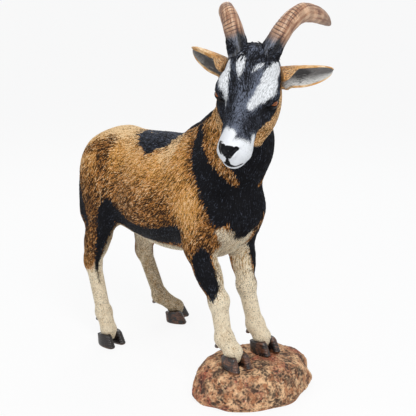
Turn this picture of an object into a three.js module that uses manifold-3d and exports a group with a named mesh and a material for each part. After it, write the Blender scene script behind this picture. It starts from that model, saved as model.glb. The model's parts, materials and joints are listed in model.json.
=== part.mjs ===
// A painted resin statue of a horned goat: it stands square behind, its forefeet on a low rock, and
// turns its head to its right. Millimetres, +Z up, +X towards the chest, +Y to the goat's left.
import * as THREE from "three";
import { mergeVertices } from "three/addons/utils/BufferGeometryUtils.js";
import Module from "manifold-3d";

const wasm = await Module();
wasm.setup();
const V = (x, y, z) => new THREE.Vector3(x, y, z);
const { lerp, clamp, degToRad } = THREE.MathUtils;
const X_AXIS = V(1, 0, 0);
const SIDES = { right: -1, left: 1 };

// ---------------------------------------------------------------- driving dimensions
const BODY_HEIGHT = 450; // the trunk's own line above the floor
const ROCK_HEIGHT = 80; // where the forefeet stand
const ROCK_CENTRE = V(236, 28, 0);
const ROCK_RADII = [166, 121.5]; // half its length and half its breadth
const ROCK_TURN = degToRad(91); // its length lies across the goat
const ROCK_SLOPE = 0.157; // its top falls by this share towards the goat's left
const GAP = 0.35; // between neighbouring pieces
const CANNON_RADIUS = 20;
const CORONET_RADIUS = 21;
const EYE_RADIUS = 13;
const HORN_BASE_RADIUS = 27;
const EAR_LENGTH = 138;
const EAR_WIDTH = 54;
const EAR_THICKNESS = 5;
const CLAW_LENGTH = 60;
const CLAW_WIDTH = 26;
const CLAW_HEIGHT = 35;
const CLEFT = 5; // between the two claws of a foot

// ---------------------------------------------------------------- flesh as fields of distance
// Each muscle or bone is a function of a point: below zero inside it and above zero outside.
// `thin` squeezes a limb's section sideways, along the goat's own Y.
function limb(from, to, fromRadius, toRadius, thin = 1) {
  const run = to.clone().sub(from);
  const length2 = run.lengthSq();
  const off = V(0, 0, 0);
  return (p) => {
    off.subVectors(p, from);
    const t = clamp(off.dot(run) / length2, 0, 1);
    off.addScaledVector(run, -t);
    off.y /= thin;
    return (off.length() - lerp(fromRadius, toRadius, t)) * Math.min(1, thin);
  };
}

function bulge(centre, radii) {
  const a = V(0, 0, 0);
  const b = V(0, 0, 0);
  return (p) => {
    a.subVectors(p, centre).divide(radii);
    b.copy(a).divide(radii);
    const k = a.length();
    return k < 1e-6 ? -Math.min(radii.x, radii.y, radii.z) : (k * (k - 1)) / b.length();
  };
}

// Joins fields so that they flow into each other over about `soft` millimetres.
function flow(soft, fields) {
  return (p) => fields.reduce((d, field) => {
    const e = field(p);
    const h = Math.max(soft - Math.abs(d - e), 0) / soft;
    return Math.min(d, e) - (h * h * soft) / 4;
  }, Infinity);
}

// A field given in a frame of its own, such as the head's.
function placed(frame, field) {
  const inverse = frame.clone().invert();
  const q = V(0, 0, 0);
  return (p) => field(q.copy(p).applyMatrix4(inverse));
}

const grown = (field, by) => (p) => field(p) - by;
const between = (a, b, t) => a.clone().lerp(b, t);
const shifted = (a, x, y, z) => V(a.x + x, a.y + y, a.z + z);
const pair = (make) => [make(SIDES.right), make(SIDES.left)];

// ---------------------------------------------------------------- how the legs stand
const hindPose = {
  right: { hip: V(-256, -46, 476), stifle: V(-212, -80, 356), hock: V(-272, -86, 214),
    fetlock: V(-236, -82, 80), foot: V(-198, -88, 0), yaw: 6, spread: 5 },
  left: { hip: V(-256, 46, 476), stifle: V(-212, 80, 356), hock: V(-276, 90, 208),
    fetlock: V(-240, 116, 76), foot: V(-208, 156, 0), yaw: 42, spread: 16 },
};
const forePose = {
  right: { withers: V(92, -46, 530), shoulder: V(170, -64, 440), elbow: V(154, -78, 356),
    knee: V(211, -68, 238), fetlock: V(225, -62, 148), foot: V(256, -54, ROCK_HEIGHT), yaw: -4, spread: 4 },
  left: { withers: V(92, 46, 530), shoulder: V(156, 52, 440), elbow: V(138, 68, 356),
    knee: V(180, 50, 242), fetlock: V(208, 56, 146), foot: V(236, 60, ROCK_HEIGHT), yaw: 4, spread: 4 },
};
const coronet = (pose) => shifted(pose.foot, -8, 0, CLAW_HEIGHT + 2);
const sole = (pose) => shifted(pose.foot, -4, 0, 25);

// ---------------------------------------------------------------- trunk
const trunkField = flow(44, [
  flow(56, [
    bulge(V(-30, 0, BODY_HEIGHT - 14), V(196, 106, 138)), // barrel
    bulge(V(112, 0, BODY_HEIGHT + 2), V(116, 76, 130)), // chest
    bulge(V(-242, 0, BODY_HEIGHT + 12), V(108, 72, 104)), // rump
    limb(V(-196, 0, BODY_HEIGHT + 74), V(76, 0, BODY_HEIGHT + 90), 44, 54), // loin and back
    limb(V(-130, 0, BODY_HEIGHT - 44), V(-10, 0, BODY_HEIGHT - 56), 64, 84), // belly
    limb(V(110, 0, BODY_HEIGHT - 54), V(200, 0, BODY_HEIGHT - 6), 68, 46), // brisket
  ]),
  ...["right", "left"].flatMap((side) => [
    limb(forePose[side].withers, forePose[side].shoulder, 42, 44, 0.66), // shoulder blade
    limb(forePose[side].shoulder, between(forePose[side].shoulder, forePose[side].elbow, 0.5), 44, 40, 0.62),
    limb(hindPose[side].hip, between(hindPose[side].hip, hindPose[side].stifle, 0.5), 70, 64, 0.66), // haunch
    limb(V(-312, hindPose[side].hip.y * 0.9, 440), V(-300, hindPose[side].hip.y * 1.5, 350), 38, 32, 0.75),
  ]),
]);

// ---------------------------------------------------------------- legs
// Below the hock or knee a leg is bone and sinew: a round cannon, the fetlock and the pastern.
const shank = ({ fetlock, ...pose }, top) => flow(9, [
  limb(top, fetlock, CANNON_RADIUS + 2, CANNON_RADIUS),
  bulge(fetlock, V(24, 22, 24)),
  limb(fetlock, coronet(pose), CANNON_RADIUS + 1, CORONET_RADIUS),
  limb(coronet(pose), sole(pose), CORONET_RADIUS, 14),
]);

function hindField({ hip, stifle, hock, ...pose }) {
  return flow(10, [
    flow(24, [
      limb(hip, stifle, 70, 46, 0.64),
      limb(V(-306, hip.y, 400), shifted(between(stifle, hock, 0.5), -22, 0, 0), 42, 24, 0.75), // hamstring
      limb(stifle, between(stifle, hock, 0.6), 42, 28, 0.74),
      limb(between(stifle, hock, 0.4), hock, 30, 21),
      limb(shifted(between(stifle, hock, 0.6), -18, 0, 0), shifted(hock, -12, 0, 14), 11, 12), // heel cord
    ]),
    bulge(hock, V(25, 22, 30)),
    shank(pose, hock),
  ]);
}

function foreField({ shoulder, elbow, knee, ...pose }) {
  return flow(10, [
    flow(20, [
      limb(shoulder, elbow, 44, 36, 0.66),
      limb(elbow, between(elbow, knee, 0.55), 36, 27, 0.85),
      limb(between(elbow, knee, 0.45), knee, 28, 20),
    ]),
    bulge(knee, V(24, 23, 30)),
    shank(pose, knee),
  ]);
}

const hindPath = ({ hip, stifle, hock, fetlock, ...pose }) => [
  V(-252, hip.y * 1.3, 410), V(-246, hip.y * 1.6, 345), shifted(between(stifle, hock, 0.5), -10, 0, 0),
  hock, between(hock, fetlock, 0.5), fetlock, coronet(pose), sole(pose)];
const forePath = ({ shoulder, elbow, knee, fetlock, ...pose }) => [
  between(shoulder, elbow, 0.5), elbow, between(elbow, knee, 0.5), knee,
  between(knee, fetlock, 0.5), fetlock, coronet(pose), sole(pose)];

// ---------------------------------------------------------------- neck and head
// The head's own frame: x from the poll towards the nose, y to its left, z out of the forehead.
const POLL = V(312, -60, 829);
const NOSE_LINE = V(0.239, -0.512, -0.824).normalize();
const HEAD_LEFT = V(0.81, 0.576, -0.123).normalize();
const FACE_OUT = V(0, 0, 0).crossVectors(NOSE_LINE, HEAD_LEFT).normalize();
const headFrame = new THREE.Matrix4()
  .makeBasis(NOSE_LINE, V(0, 0, 0).crossVectors(FACE_OUT, NOSE_LINE), FACE_OUT)
  .setPosition(POLL);
const inHead = (x, y, z) => V(x, y, z).applyMatrix4(headFrame);
const headwards = (x, y, z) => V(x, y, z).transformDirection(headFrame);

const EYE = V(100, 54, -38);
const headShape = flow(16, [
  bulge(V(36, 0, -42), V(60, 52, 50)), // cranium
  bulge(V(72, 0, -30), V(56, 56, 34)), // forehead
  ...pair((s) => bulge(V(88, s * 48, -32), V(27, 21, 22))), // brows
  limb(V(92, 0, -38), V(210, 0, -31), 41, 26, 0.94), // nasal and upper jaw
  limb(V(84, 0, -14), V(222, 0, -13), 21, 13), // bridge of the nose
  limb(V(74, 0, -90), V(226, 0, -52), 38, 21, 0.95), // lower jaw
  ...pair((s) => bulge(V(94, s * 41, -82), V(56, 25, 42))), // cheeks
  bulge(V(220, 0, -31), V(30, 31, 27)), // muzzle
  bulge(V(237, 0, -54), V(16, 19, 13)), // chin
]);
const headField = placed(headFrame, headShape);
const NECK_TOP = inHead(38, 0, -66);
const NECK_BEND = V(250, -24, 690);
const neckField = flow(40, [
  limb(V(92, 0, 488), V(194, 2, 600), 112, 78, 0.84),
  limb(V(194, 2, 600), NECK_BEND, 77, 54, 0.9),
  limb(NECK_BEND, NECK_TOP, 54, 54, 0.94),
  limb(V(172, 24, 470), V(214, 12, 610), 46, 44), // windpipe and breast
]);
const THROAT_CUT = [inHead(50, 0, -100), headwards(-0.45, 0, -0.89)];
const neckPath = [V(130, 0, 440), V(160, -2, 520), V(208, -8, 610), NECK_BEND, NECK_TOP];

// ---------------------------------------------------------------- tail
const TAIL = [V(-322, 0, 526), V(-346, 0, 506), V(-362, 0, 458), V(-356, 0, 400)];
const tailField = flow(16, [
  limb(TAIL[0], TAIL[1], 20, 19),
  limb(TAIL[1], TAIL[2], 19, 18),
  limb(TAIL[2], TAIL[3], 18, 9),
]);

// ---------------------------------------------------------------- a net drawn over a field
// Each cell that the surface crosses gets one knot, settled onto the surface, and each edge that it
// crosses gets the four-sided mesh between the knots around it.
function netSkin(field, low, high, cell) {
  const count = high.clone().sub(low).divideScalar(cell).ceil().toArray();
  const middle = low.clone().add(high).multiplyScalar(0.5);
  const halfSize = high.clone().sub(low).multiplyScalar(0.5).subScalar(cell * 1.1);
  const off = V(0, 0, 0);
  const clipped = (p) => {
    off.subVectors(p, middle);
    const wall = Math.max(Math.abs(off.x) - halfSize.x, Math.abs(off.y) - halfSize.y,
      Math.abs(off.z) - halfSize.z);
    return Math.max(field(p), wall);
  };
  const key = (i, j, k) => (i * (count[1] + 1) + j) * (count[2] + 1) + k;
  const corner = (i, j, k) => V(low.x + i * cell, low.y + j * cell, low.z + k * cell);
  const values = new Float64Array((count[0] + 1) * (count[1] + 1) * (count[2] + 1));
  for (let i = 0; i <= count[0]; i++)
    for (let j = 0; j <= count[1]; j++)
      for (let k = 0; k <= count[2]; k++) values[key(i, j, k)] = clipped(corner(i, j, k));

  const positions = [];
  const knots = new Map();
  for (let i = 0; i < count[0]; i++)
    for (let j = 0; j < count[1]; j++)
      for (let k = 0; k < count[2]; k++) {
        const knot = cellKnot(i, j, k, values, key, corner);
        if (!knot) continue;
        knots.set(key(i, j, k), positions.length / 3);
        positions.push(...settle(clipped, knot, cell).toArray());
      }

  const index = [];
  const steps = [[1, 0, 0], [0, 1, 0], [0, 0, 1]];
  for (let i = 1; i < count[0]; i++)
    for (let j = 1; j < count[1]; j++)
      for (let k = 1; k < count[2]; k++)
        for (let axis = 0; axis < 3; axis++) {
          const here = values[key(i, j, k)];
          const next = values[key(i + steps[axis][0], j + steps[axis][1], k + steps[axis][2])];
          if (here < 0 === next < 0) continue;
          const [u, v] = [steps[(axis + 1) % 3], steps[(axis + 2) % 3]];
          const around = [[1, 1], [0, 1], [0, 0], [1, 0]].map(([a, b]) => knots.get(
            key(i - a * u[0] - b * v[0], j - a * u[1] - b * v[1], k - a * u[2] - b * v[2])));
          if (here > 0) around.reverse();
          index.push(...shortestSplit(around, positions));
        }
  return meshToSolid(positions, index);
}

// The mean of the points where the surface crosses a cell's edges, or null where it passes it by.
function cellKnot(i, j, k, values, key, corner) {
  const sum = V(0, 0, 0);
  let crossings = 0;
  for (let axis = 0; axis < 3; axis++) {
    for (const [b, c] of [[0, 0], [1, 0], [0, 1], [1, 1]]) {
      const at = [i, j, k];
      at[(axis + 1) % 3] += b;
      at[(axis + 2) % 3] += c;
      const to = at.slice();
      to[axis] += 1;
      const [d, e] = [values[key(...at)], values[key(...to)]];
      if (d < 0 === e < 0) continue;
      sum.add(corner(...at).lerp(corner(...to), d / (d - e)));
      crossings++;
    }
  }
  return crossings ? sum.divideScalar(crossings) : null;
}

// Moves a point down the field's slope until it lies on the surface, by no more than half a cell.
function settle(field, start, cell) {
  const p = start.clone();
  const h = 0.5;
  for (let round = 0; round < 4; round++) {
    const slope = V(
      field(shifted(p, h, 0, 0)) - field(shifted(p, -h, 0, 0)),
      field(shifted(p, 0, h, 0)) - field(shifted(p, 0, -h, 0)),
      field(shifted(p, 0, 0, h)) - field(shifted(p, 0, 0, -h))).divideScalar(2 * h);
    p.addScaledVector(slope, -field(p) / Math.max(0.2, slope.lengthSq()));
  }
  return p.sub(start).clampLength(0, cell / 2).add(start);
}

function shortestSplit([a, b, c, d], positions) {
  const at = (i) => V(positions[3 * i], positions[3 * i + 1], positions[3 * i + 2]);
  const first = at(a).distanceTo(at(c)) <= at(b).distanceTo(at(d));
  return first ? [a, b, c, a, c, d] : [b, c, d, b, d, a];
}

// ---------------------------------------------------------------- rings cast onto the fields
// The first way out of the field along a ray, and never past `reach`.
function reachSkin(field, origin, direction, reach) {
  const p = V(0, 0, 0);
  const at = (r) => field(p.copy(origin).addScaledVector(direction, r));
  let inside = 0;
  let outside = 0;
  for (let d = at(0); d <= 0 && outside < reach; d = at(outside)) {
    inside = outside;
    outside += Math.max(1.5, -d * 0.7);
  }
  if (outside >= reach) return reach;
  for (let i = 0; i < 18; i++) {
    const middle = (inside + outside) / 2;
    if (at(middle) > 0) outside = middle;
    else inside = middle;
  }
  return inside;
}

// A closed skin of rings. Each station has a point `at`, a direction `along`, how far its rays may
// `reach` and, at a domed end, a `tilt` that leans them over.
function ringSkin(field, stations, sides, up = V(0, 0, 1)) {
  const points = [];
  const poles = [stations[0], stations.at(-1)].map(({ at, along, tilt = 0, reach = 400 }) => {
    const ray = along.clone().normalize().multiplyScalar(Math.sign(tilt));
    return at.clone().addScaledVector(ray, tilt ? reachSkin(field, at, ray, reach) : 0);
  });
  for (const { at, along, tilt = 0, reach = 400 } of stations) {
    const ahead = along.clone().normalize();
    const left = V(0, 0, 0).crossVectors(up, ahead).normalize();
    const top = V(0, 0, 0).crossVectors(ahead, left);
    for (let i = 0; i < sides; i++) {
      const angle = ((i + 0.5) / sides) * 2 * Math.PI;
      const ray = V(0, 0, 0)
        .addScaledVector(left, Math.cos(angle) * Math.cos(tilt))
        .addScaledVector(top, Math.sin(angle) * Math.cos(tilt))
        .addScaledVector(ahead, Math.sin(tilt));
      points.push(at.clone().addScaledVector(ray, reachSkin(field, at, ray, reach)));
    }
  }
  return ringsToSolid(points, sides, poles);
}

// The four-sided meshes between each ring of points and the next, as triangles.
function sleeve(rings, sides) {
  const index = [];
  for (let r = 0; r + 1 < rings; r++) {
    for (let i = 0; i < sides; i++) {
      const j = (i + 1) % sides;
      const [a, b, c, d] = [r * sides + i, r * sides + j, (r + 1) * sides + j, (r + 1) * sides + i];
      index.push(a, b, c, a, c, d);
    }
  }
  return index;
}

function meshToSolid(positions, index) {
  const geometry = new THREE.BufferGeometry();
  geometry.setAttribute("position", new THREE.Float32BufferAttribute(positions, 3));
  geometry.setIndex(index);
  return toSolid(geometry);
}

// Rings of points become a closed solid, with a fan over each end to its pole.
function ringsToSolid(points, sides, poles = [null, null]) {
  const rings = points.length / sides;
  const positions = points.flatMap((p) => [p.x, p.y, p.z]);
  const index = sleeve(rings, sides);
  poles.forEach((pole, end) => {
    const first = end ? (rings - 1) * sides : 0;
    const ring = points.slice(first, first + sides);
    const middle = pole ?? ring.reduce((sum, p) => sum.add(p), V(0, 0, 0)).divideScalar(sides);
    positions.push(middle.x, middle.y, middle.z);
    const centre = positions.length / 3 - 1;
    for (let i = 0; i < sides; i++) {
      const j = (i + 1) % sides;
      index.push(centre, first + (end ? i : j), first + (end ? j : i));
    }
  });
  return meshToSolid(positions, index);
}

function toSolid(geometry) {
  const plain = geometry.clone();
  plain.deleteAttribute("normal");
  plain.deleteAttribute("uv");
  const merged = mergeVertices(plain, 1e-3);
  return new wasm.Manifold(new wasm.Mesh({
    numProp: 3,
    vertProperties: new Float32Array(merged.attributes.position.array),
    triVerts: new Uint32Array(merged.index.array),
  }));
}

function toGeometry(solid) {
  const { vertProperties, triVerts, numProp } = solid.getMesh();
  const count = vertProperties.length / numProp;
  const positions = new Float32Array(count * 3);
  for (let i = 0; i < count; i++) positions.set(vertProperties.subarray(i * numProp, i * numProp + 3), i * 3);
  const geometry = new THREE.BufferGeometry();
  geometry.setAttribute("position", new THREE.BufferAttribute(positions, 3));
  geometry.setIndex(new THREE.BufferAttribute(new Uint32Array(triVerts), 1));
  geometry.computeVertexNormals();
  return geometry;
}

// Stations evenly spaced along a smooth line through `points`.
function stationsAlong(points, count, extra = () => ({})) {
  const curve = new THREE.CatmullRomCurve3(points, false, "centripetal");
  return Array.from({ length: count }, (_, i) => {
    const t = i / (count - 1);
    return { at: curve.getPointAt(t), along: curve.getTangentAt(t), ...extra(t) };
  });
}

// A domed end: rings about one point that lean over along `along`, or against it where `turn` is -1.
function dome(at, along, turn, count, reach) {
  const stations = Array.from({ length: count }, (_, i) => (
    { at, along, reach, tilt: (turn * (i + 1) * Math.PI) / 2 / (count + 1) }));
  return turn > 0 ? stations : stations.reverse();
}

// ---------------------------------------------------------------- cuts
// A block that holds everything on the far side of a plane through `point`, facing along `normal`,
// over `breadth` along X.
function beyond(point, normal, by = 0, breadth = 900) {
  const size = 900;
  const n = normal.clone().normalize();
  const right = V(0, 0, 0).crossVectors(V(0, 1, 0), n).normalize();
  const turn = new THREE.Matrix4().makeBasis(right, V(0, 0, 0).crossVectors(n, right), n);
  const centre = point.clone().addScaledVector(n, size / 2 - by);
  return toSolid(new THREE.BoxGeometry(breadth, size, size).applyMatrix4(turn)
    .translate(centre.x, centre.y, centre.z));
}

const cutAcross = (solid, point, normal) => [
  solid.subtract(beyond(point, normal, GAP)), solid.intersect(beyond(point, normal))];

// ---------------------------------------------------------------- trunk, legs and tail
const LEGS = {
  hind: { poses: hindPose, field: hindField, path: hindPath, middle: "hock",
    names: ["thigh", "hind_cannon"], cut: (s) => V(-244, s * 82, 352), facing: (s) => V(0, s * 0.5, -1),
    breadth: 220, reach: 84 },
  fore: { poses: forePose, field: foreField, path: forePath, middle: "knee",
    names: ["forearm", "fore_cannon"], cut: (s) => V(148, s * 72, 338), facing: (s) => V(0, s * 0.55, -1),
    breadth: 200, reach: 62 },
};
const NECK_CUT = [V(170, 0, 545), V(0.62, 0, 1)];

const fleshField = flow(18, [
  trunkField,
  ...Object.values(LEGS).flatMap(({ poses, field }) => [field(poses.right), field(poses.left)]),
  neckField,
]);

// Rings of a leg run from inside the trunk down to the hoof.
function legSkin(field, path, widest) {
  const stations = stationsAlong(path, 14, (t) => ({ reach: lerp(widest, 50, clamp(t * 3 - 0.3, 0, 1)) }));
  const end = stations.at(-1);
  stations.push(...dome(end.at, end.along, 1, 1, 30));
  return ringSkin(flow(18, [trunkField, field]), stations, 10, X_AXIS);
}

// ---------------------------------------------------------------- claws
function clawSolid({ foot, yaw, spread }, side, by = 0) {
  const perRing = 10;
  const levels = [ // height, size, and how far the wall leans back
    [-by, 0.95, 0], [5, 1, 0], [CLAW_HEIGHT * 0.9, 0.84, -8], [CLAW_HEIGHT + by, 0.7, -9]];
  const frame = new THREE.Matrix4().makeRotationZ(degToRad(yaw)).setPosition(foot)
    .multiply(new THREE.Matrix4().makeTranslation(-CLAW_LENGTH / 2, 0, 0))
    .multiply(new THREE.Matrix4().makeRotationZ(degToRad(side * spread)))
    .multiply(new THREE.Matrix4().makeTranslation(CLAW_LENGTH / 2, 0, 0));
  const points = levels.flatMap(([z, size, lean]) => {
    const ring = Array.from({ length: perRing }, (_, i) => {
      const a = (i / perRing) * 2 * Math.PI;
      const [c, s] = [Math.cos(a), Math.sin(a)];
      const x = Math.sign(c) * Math.abs(c) ** 0.8 * ((CLAW_LENGTH / 2) * size + by);
      const half = (CLAW_WIDTH / 2) * size + by;
      const toe = Math.max(0, x / CLAW_LENGTH);
      const y = s > 0 ? s ** 0.8 * half * (1 - 0.5 * toe) : -(Math.abs(s) ** 0.5) * half * (1 - 0.2 * toe);
      const drop = z > CLAW_HEIGHT * 0.85 ? Math.max(0, -x) * 0.32 : 0; // the coronet falls to the heel
      return V(x + lean + 4, side * (y + CLAW_WIDTH / 2 + CLEFT / 2), z - drop).applyMatrix4(frame);
    });
    return side < 0 ? ring.reverse() : ring;
  });
  return ringsToSolid(points, perRing);
}

// A dewclaw is a short horny cone behind the fetlock.
function dewclawSolid({ fetlock }, side, by = 0) {
  const root = shifted(fetlock, -8, side * 9, -15);
  const tip = shifted(root, -9, side * 1, -8);
  const stations = [...stationsAlong([root, tip], 2), ...dome(tip, tip.clone().sub(root), 1, 1, 20)];
  return ringSkin(grown(limb(root, tip, 8, 4.5), by), stations, 6);
}

// ---------------------------------------------------------------- horns
// The path runs up the line of the forehead, then back and out; the section is a flattened oval.
const HORN_PATH = [[18, 27, -30], [-24, 41, -16], [-66, 61, -8], [-101, 84, -20], [-127, 105, -58],
  [-148, 120, -108], [-164, 128, -158]];
// What each horn takes of that rise, and of that lean at its root, half way and at its tip.
const HORN_SHARES = { [-1]: [0.8, [1.24, 0.96, 0.86]], 1: [1, [0.9, 0.88, 0.98]] };
function hornSolid(side, by = 0) {
  const [rise, leans] = HORN_SHARES[side];
  const line = HORN_PATH.map(([x, y, z], i) => {
    const share = (2 * i) / (HORN_PATH.length - 1);
    const lean = share < 1 ? lerp(leans[0], leans[1], share) : lerp(leans[1], leans[2], share - 1);
    return inHead(x * rise, side * y * lean, z);
  });
  const curve = new THREE.CatmullRomCurve3(line, false, "centripetal");
  const [rings, perRing] = [13, 10];
  const points = [];
  for (let r = 0; r <= rings; r++) {
    const t = r / rings;
    const [at, along] = [curve.getPointAt(t), curve.getTangentAt(t)];
    const wide = V(0, 0, 0).crossVectors(HEAD_LEFT, along).normalize();
    const flat = V(0, 0, 0).crossVectors(along, wide);
    const blunt = Math.sqrt(1 - 0.86 * Math.max(0, (t - 0.7) / 0.3) ** 2);
    const radius = HORN_BASE_RADIUS * (1 - 0.52 * t ** 1.2) * blunt + by;
    for (let i = 0; i < perRing; i++) {
      const a = (i / perRing) * 2 * Math.PI;
      points.push(at.clone().addScaledVector(wide, Math.cos(a) * radius)
        .addScaledVector(flat, Math.sin(a) * radius * 0.84));
    }
  }
  return ringsToSolid(points, perRing);
}

// ---------------------------------------------------------------- ears
// A leaf that is cupped about its own length: an outer skin, and an inner one a thickness away. Its
// ends are closed by strips from the outer skin to the inner.
function earSolid(side, by = 0) {
  const root = inHead(20, side * 44, -58);
  const along = headwards(-0.36, side * 0.8, -0.42);
  const open = headwards(0.79, side * 0.5, 0.3);
  open.addScaledVector(along, -open.dot(along)).normalize();
  const across = V(0, 0, 0).crossVectors(open, along);
  const [rings, half] = [7, 6];
  const points = [];
  for (let r = 0; r <= rings; r++) {
    const t = r / rings;
    const taper = Math.sqrt(Math.max(0.012, 1 - Math.max(0, (t - 0.45) / 0.55) ** 1.9));
    const width = (EAR_WIDTH / 2) * (0.5 + 0.5 * Math.min(1, t * 3)) * taper;
    const curl = lerp(2.3, 1.15, Math.min(1, t * 1.3)); // half the angle of the cup
    const radius = width / Math.sin(Math.min(curl, Math.PI / 2));
    const halfAngle = curl + (1.5 * by) / radius;
    const endOn = r === rings ? by : r === 0 ? -by : 0;
    for (const skin of [1, -1]) {
      for (let i = 0; i <= half; i++) {
        const share = (2 * i) / half - 1;
        const a = skin * share * halfAngle;
        const thick = skin * ((EAR_THICKNESS / 2) * (1 - 0.6 * Math.abs(share) ** 3) + by);
        points.push(root.clone().addScaledVector(along, t * EAR_LENGTH + endOn)
          .addScaledVector(across, Math.sin(a) * (radius + thick))
          .addScaledVector(open, (1 - Math.cos(a)) * radius - Math.cos(a) * thick));
      }
    }
  }
  const sides = 2 * (half + 1);
  const index = sleeve(rings + 1, sides);
  const last = rings * sides;
  for (let i = 0; i < half; i++) {
    const [a, b, c, d] = [i, i + 1, sides - 2 - i, sides - 1 - i];
    index.push(b, a, d, b, d, c, last + a, last + b, last + c, last + a, last + c, last + d);
  }
  return meshToSolid(points.flatMap((p) => [p.x, p.y, p.z]), index);
}

// ---------------------------------------------------------------- rock
function rockSolid() {
  const perRing = 22;
  const squareness = 1.86;
  const profile = [[1, 0], [1.02, 0.13], [0.98, 0.38], [0.91, 0.64], [0.8, 0.85], [0.58, 0.97],
    [0.27, 1]]; // share of the plan, share of the height
  const [c, s] = [Math.cos(ROCK_TURN), Math.sin(ROCK_TURN)];
  const points = profile.flatMap(([size, rise], ring) => Array.from({ length: perRing }, (_, i) => {
    const a = (i / perRing) * 2 * Math.PI;
    const lump = 1 + 0.03 * Math.sin(3 * a + 0.7) + 0.02 * Math.sin(7 * a + ring * 0.9)
      + 0.012 * Math.sin(11 * a + 2 * ring);
    const squared = (Math.abs(Math.cos(a)) ** squareness + Math.abs(Math.sin(a)) ** squareness)
      ** (-1 / squareness);
    const r = size * lump * squared;
    const z = rise * (ROCK_HEIGHT + 3) * (1 - ROCK_SLOPE * Math.cos(a) * size);
    const [u, v] = [ROCK_RADII[0] * Math.cos(a) * r, ROCK_RADII[1] * Math.sin(a) * r];
    return V(ROCK_CENTRE.x + c * u - s * v, ROCK_CENTRE.y + s * u + c * v, z);
  }));
  return ringsToSolid(points, perRing);
}

// ---------------------------------------------------------------- assembly
const PAINT = { brown: "#b5763a", cream: "#d9c9a4", black: "#1d1e22", horn: "#8a6040", hoof: "#3a2a22",
  rock: "#a5744f", amber: "#b5600f" };
const group = new THREE.Group();
function piece(name, solid, colour, roughness = 0.6) {
  const material = new THREE.MeshStandardMaterial({ color: colour, roughness, metalness: 0 });
  const mesh = new THREE.Mesh(toGeometry(solid), material);
  mesh.name = name;
  group.add(mesh);
}

const TRUNK_CELL = 26.5;
const trunkNet = (by) => netSkin(grown(fleshField, by), V(-410, -156, 250), V(290, 156, 690), TRUNK_CELL);
let trunk = trunkNet(0);
let rock = rockSolid();

for (const [which, leg] of Object.entries(LEGS)) {
  for (const [side, sign] of Object.entries(SIDES)) {
    const pose = leg.poses[side];
    const cut = [leg.cut(sign), leg.facing(sign)];
    let skin = legSkin(leg.field(pose), leg.path(pose), leg.reach).intersect(beyond(...cut, 0, leg.breadth));
    trunk = trunk.subtract(beyond(...cut, GAP, leg.breadth));
    for (const inner of [-1, 1]) {
      const label = `${which}_${side}_${inner === sign ? "outer" : "inner"}`;
      piece(`claw_${label}`, clawSolid(pose, inner), PAINT.hoof, 0.35);
      piece(`dewclaw_${label}`, dewclawSolid(pose, inner), PAINT.hoof, 0.35);
      const claw = clawSolid(pose, inner, GAP);
      skin = skin.subtract(claw).subtract(dewclawSolid(pose, inner, GAP));
      if (which === "fore") rock = rock.subtract(claw);
    }
    const shin = pose.fetlock.clone().sub(pose[leg.middle]);
    const [upper, lower] = cutAcross(skin, pose[leg.middle].clone().addScaledVector(shin, 0.14), shin);
    piece(`${leg.names[0]}_${side}`, upper, PAINT.brown);
    piece(`${leg.names[1]}_${side}`, lower, PAINT.cream);
  }
}
piece("rock", rock, PAINT.rock, 0.9);

const tailSkin = ringSkin(flow(14, [trunkField, tailField]), [
  ...stationsAlong([V(-310, 0, 494), ...TAIL.slice(1)], 7, () => ({ reach: 34 })),
  ...dome(TAIL[3], TAIL[3].clone().sub(TAIL[2]), 1, 1, 20),
], 8, X_AXIS);
piece("tail", tailSkin.subtract(trunkNet(GAP)), PAINT.black);
piece("trunk", trunk.subtract(beyond(...NECK_CUT, GAP)), PAINT.brown);

const neckSkin = ringSkin(flow(34, [trunkField, neckField, headField]), stationsAlong(neckPath, 11, (t) => ({
  reach: lerp(170, 110, t) })), 18, V(-1, 0, 0.2));
piece("neck", neckSkin.intersect(beyond(...NECK_CUT)).intersect(beyond(...THROAT_CUT, -GAP)), PAINT.brown);

const HEAD_CELL = 14.8;
const headAndNape = flow(34, [headField, neckField]);
let head = netSkin((p) => headAndNape(p.clone().applyMatrix4(headFrame)), V(-70, -112, -232), V(280, 112, 40),
  HEAD_CELL).transform(headFrame.elements).subtract(beyond(...THROAT_CUT));

for (const [side, sign] of Object.entries(SIDES)) {
  const eye = inHead(EYE.x, sign * EYE.y, EYE.z);
  const ball = (radius) => toSolid(new THREE.SphereGeometry(radius, 8, 6).translate(eye.x, eye.y, eye.z));
  head = head.subtract(ball(EYE_RADIUS + GAP)).subtract(hornSolid(sign, GAP)).subtract(earSolid(sign, GAP));
  piece(`eye_${side}`, ball(EYE_RADIUS), PAINT.amber, 0.15);
  piece(`horn_${side}`, hornSolid(sign), PAINT.horn);
  piece(`ear_${side}`, earSolid(sign), PAINT.brown);
}
piece("head", head, PAINT.black);

// The origin is at floor level, under the middle of the whole statue.
const bounds = new THREE.Box3().setFromObject(group);
const middle = bounds.getCenter(V(0, 0, 0));
group.position.set(-middle.x, -middle.y, -bounds.min.z);

export default group;
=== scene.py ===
"""A painted resin statue of a horned goat, its forefeet on a low rock.

The sculpture is modelled in the sculptor's own millimetres (x towards the chest, y to the goat's left,
z up) and moved into the frame's metres as each piece is made.
"""
import json
import math

import bmesh
import bpy
import numpy as np
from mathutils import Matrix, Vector, noise

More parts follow.
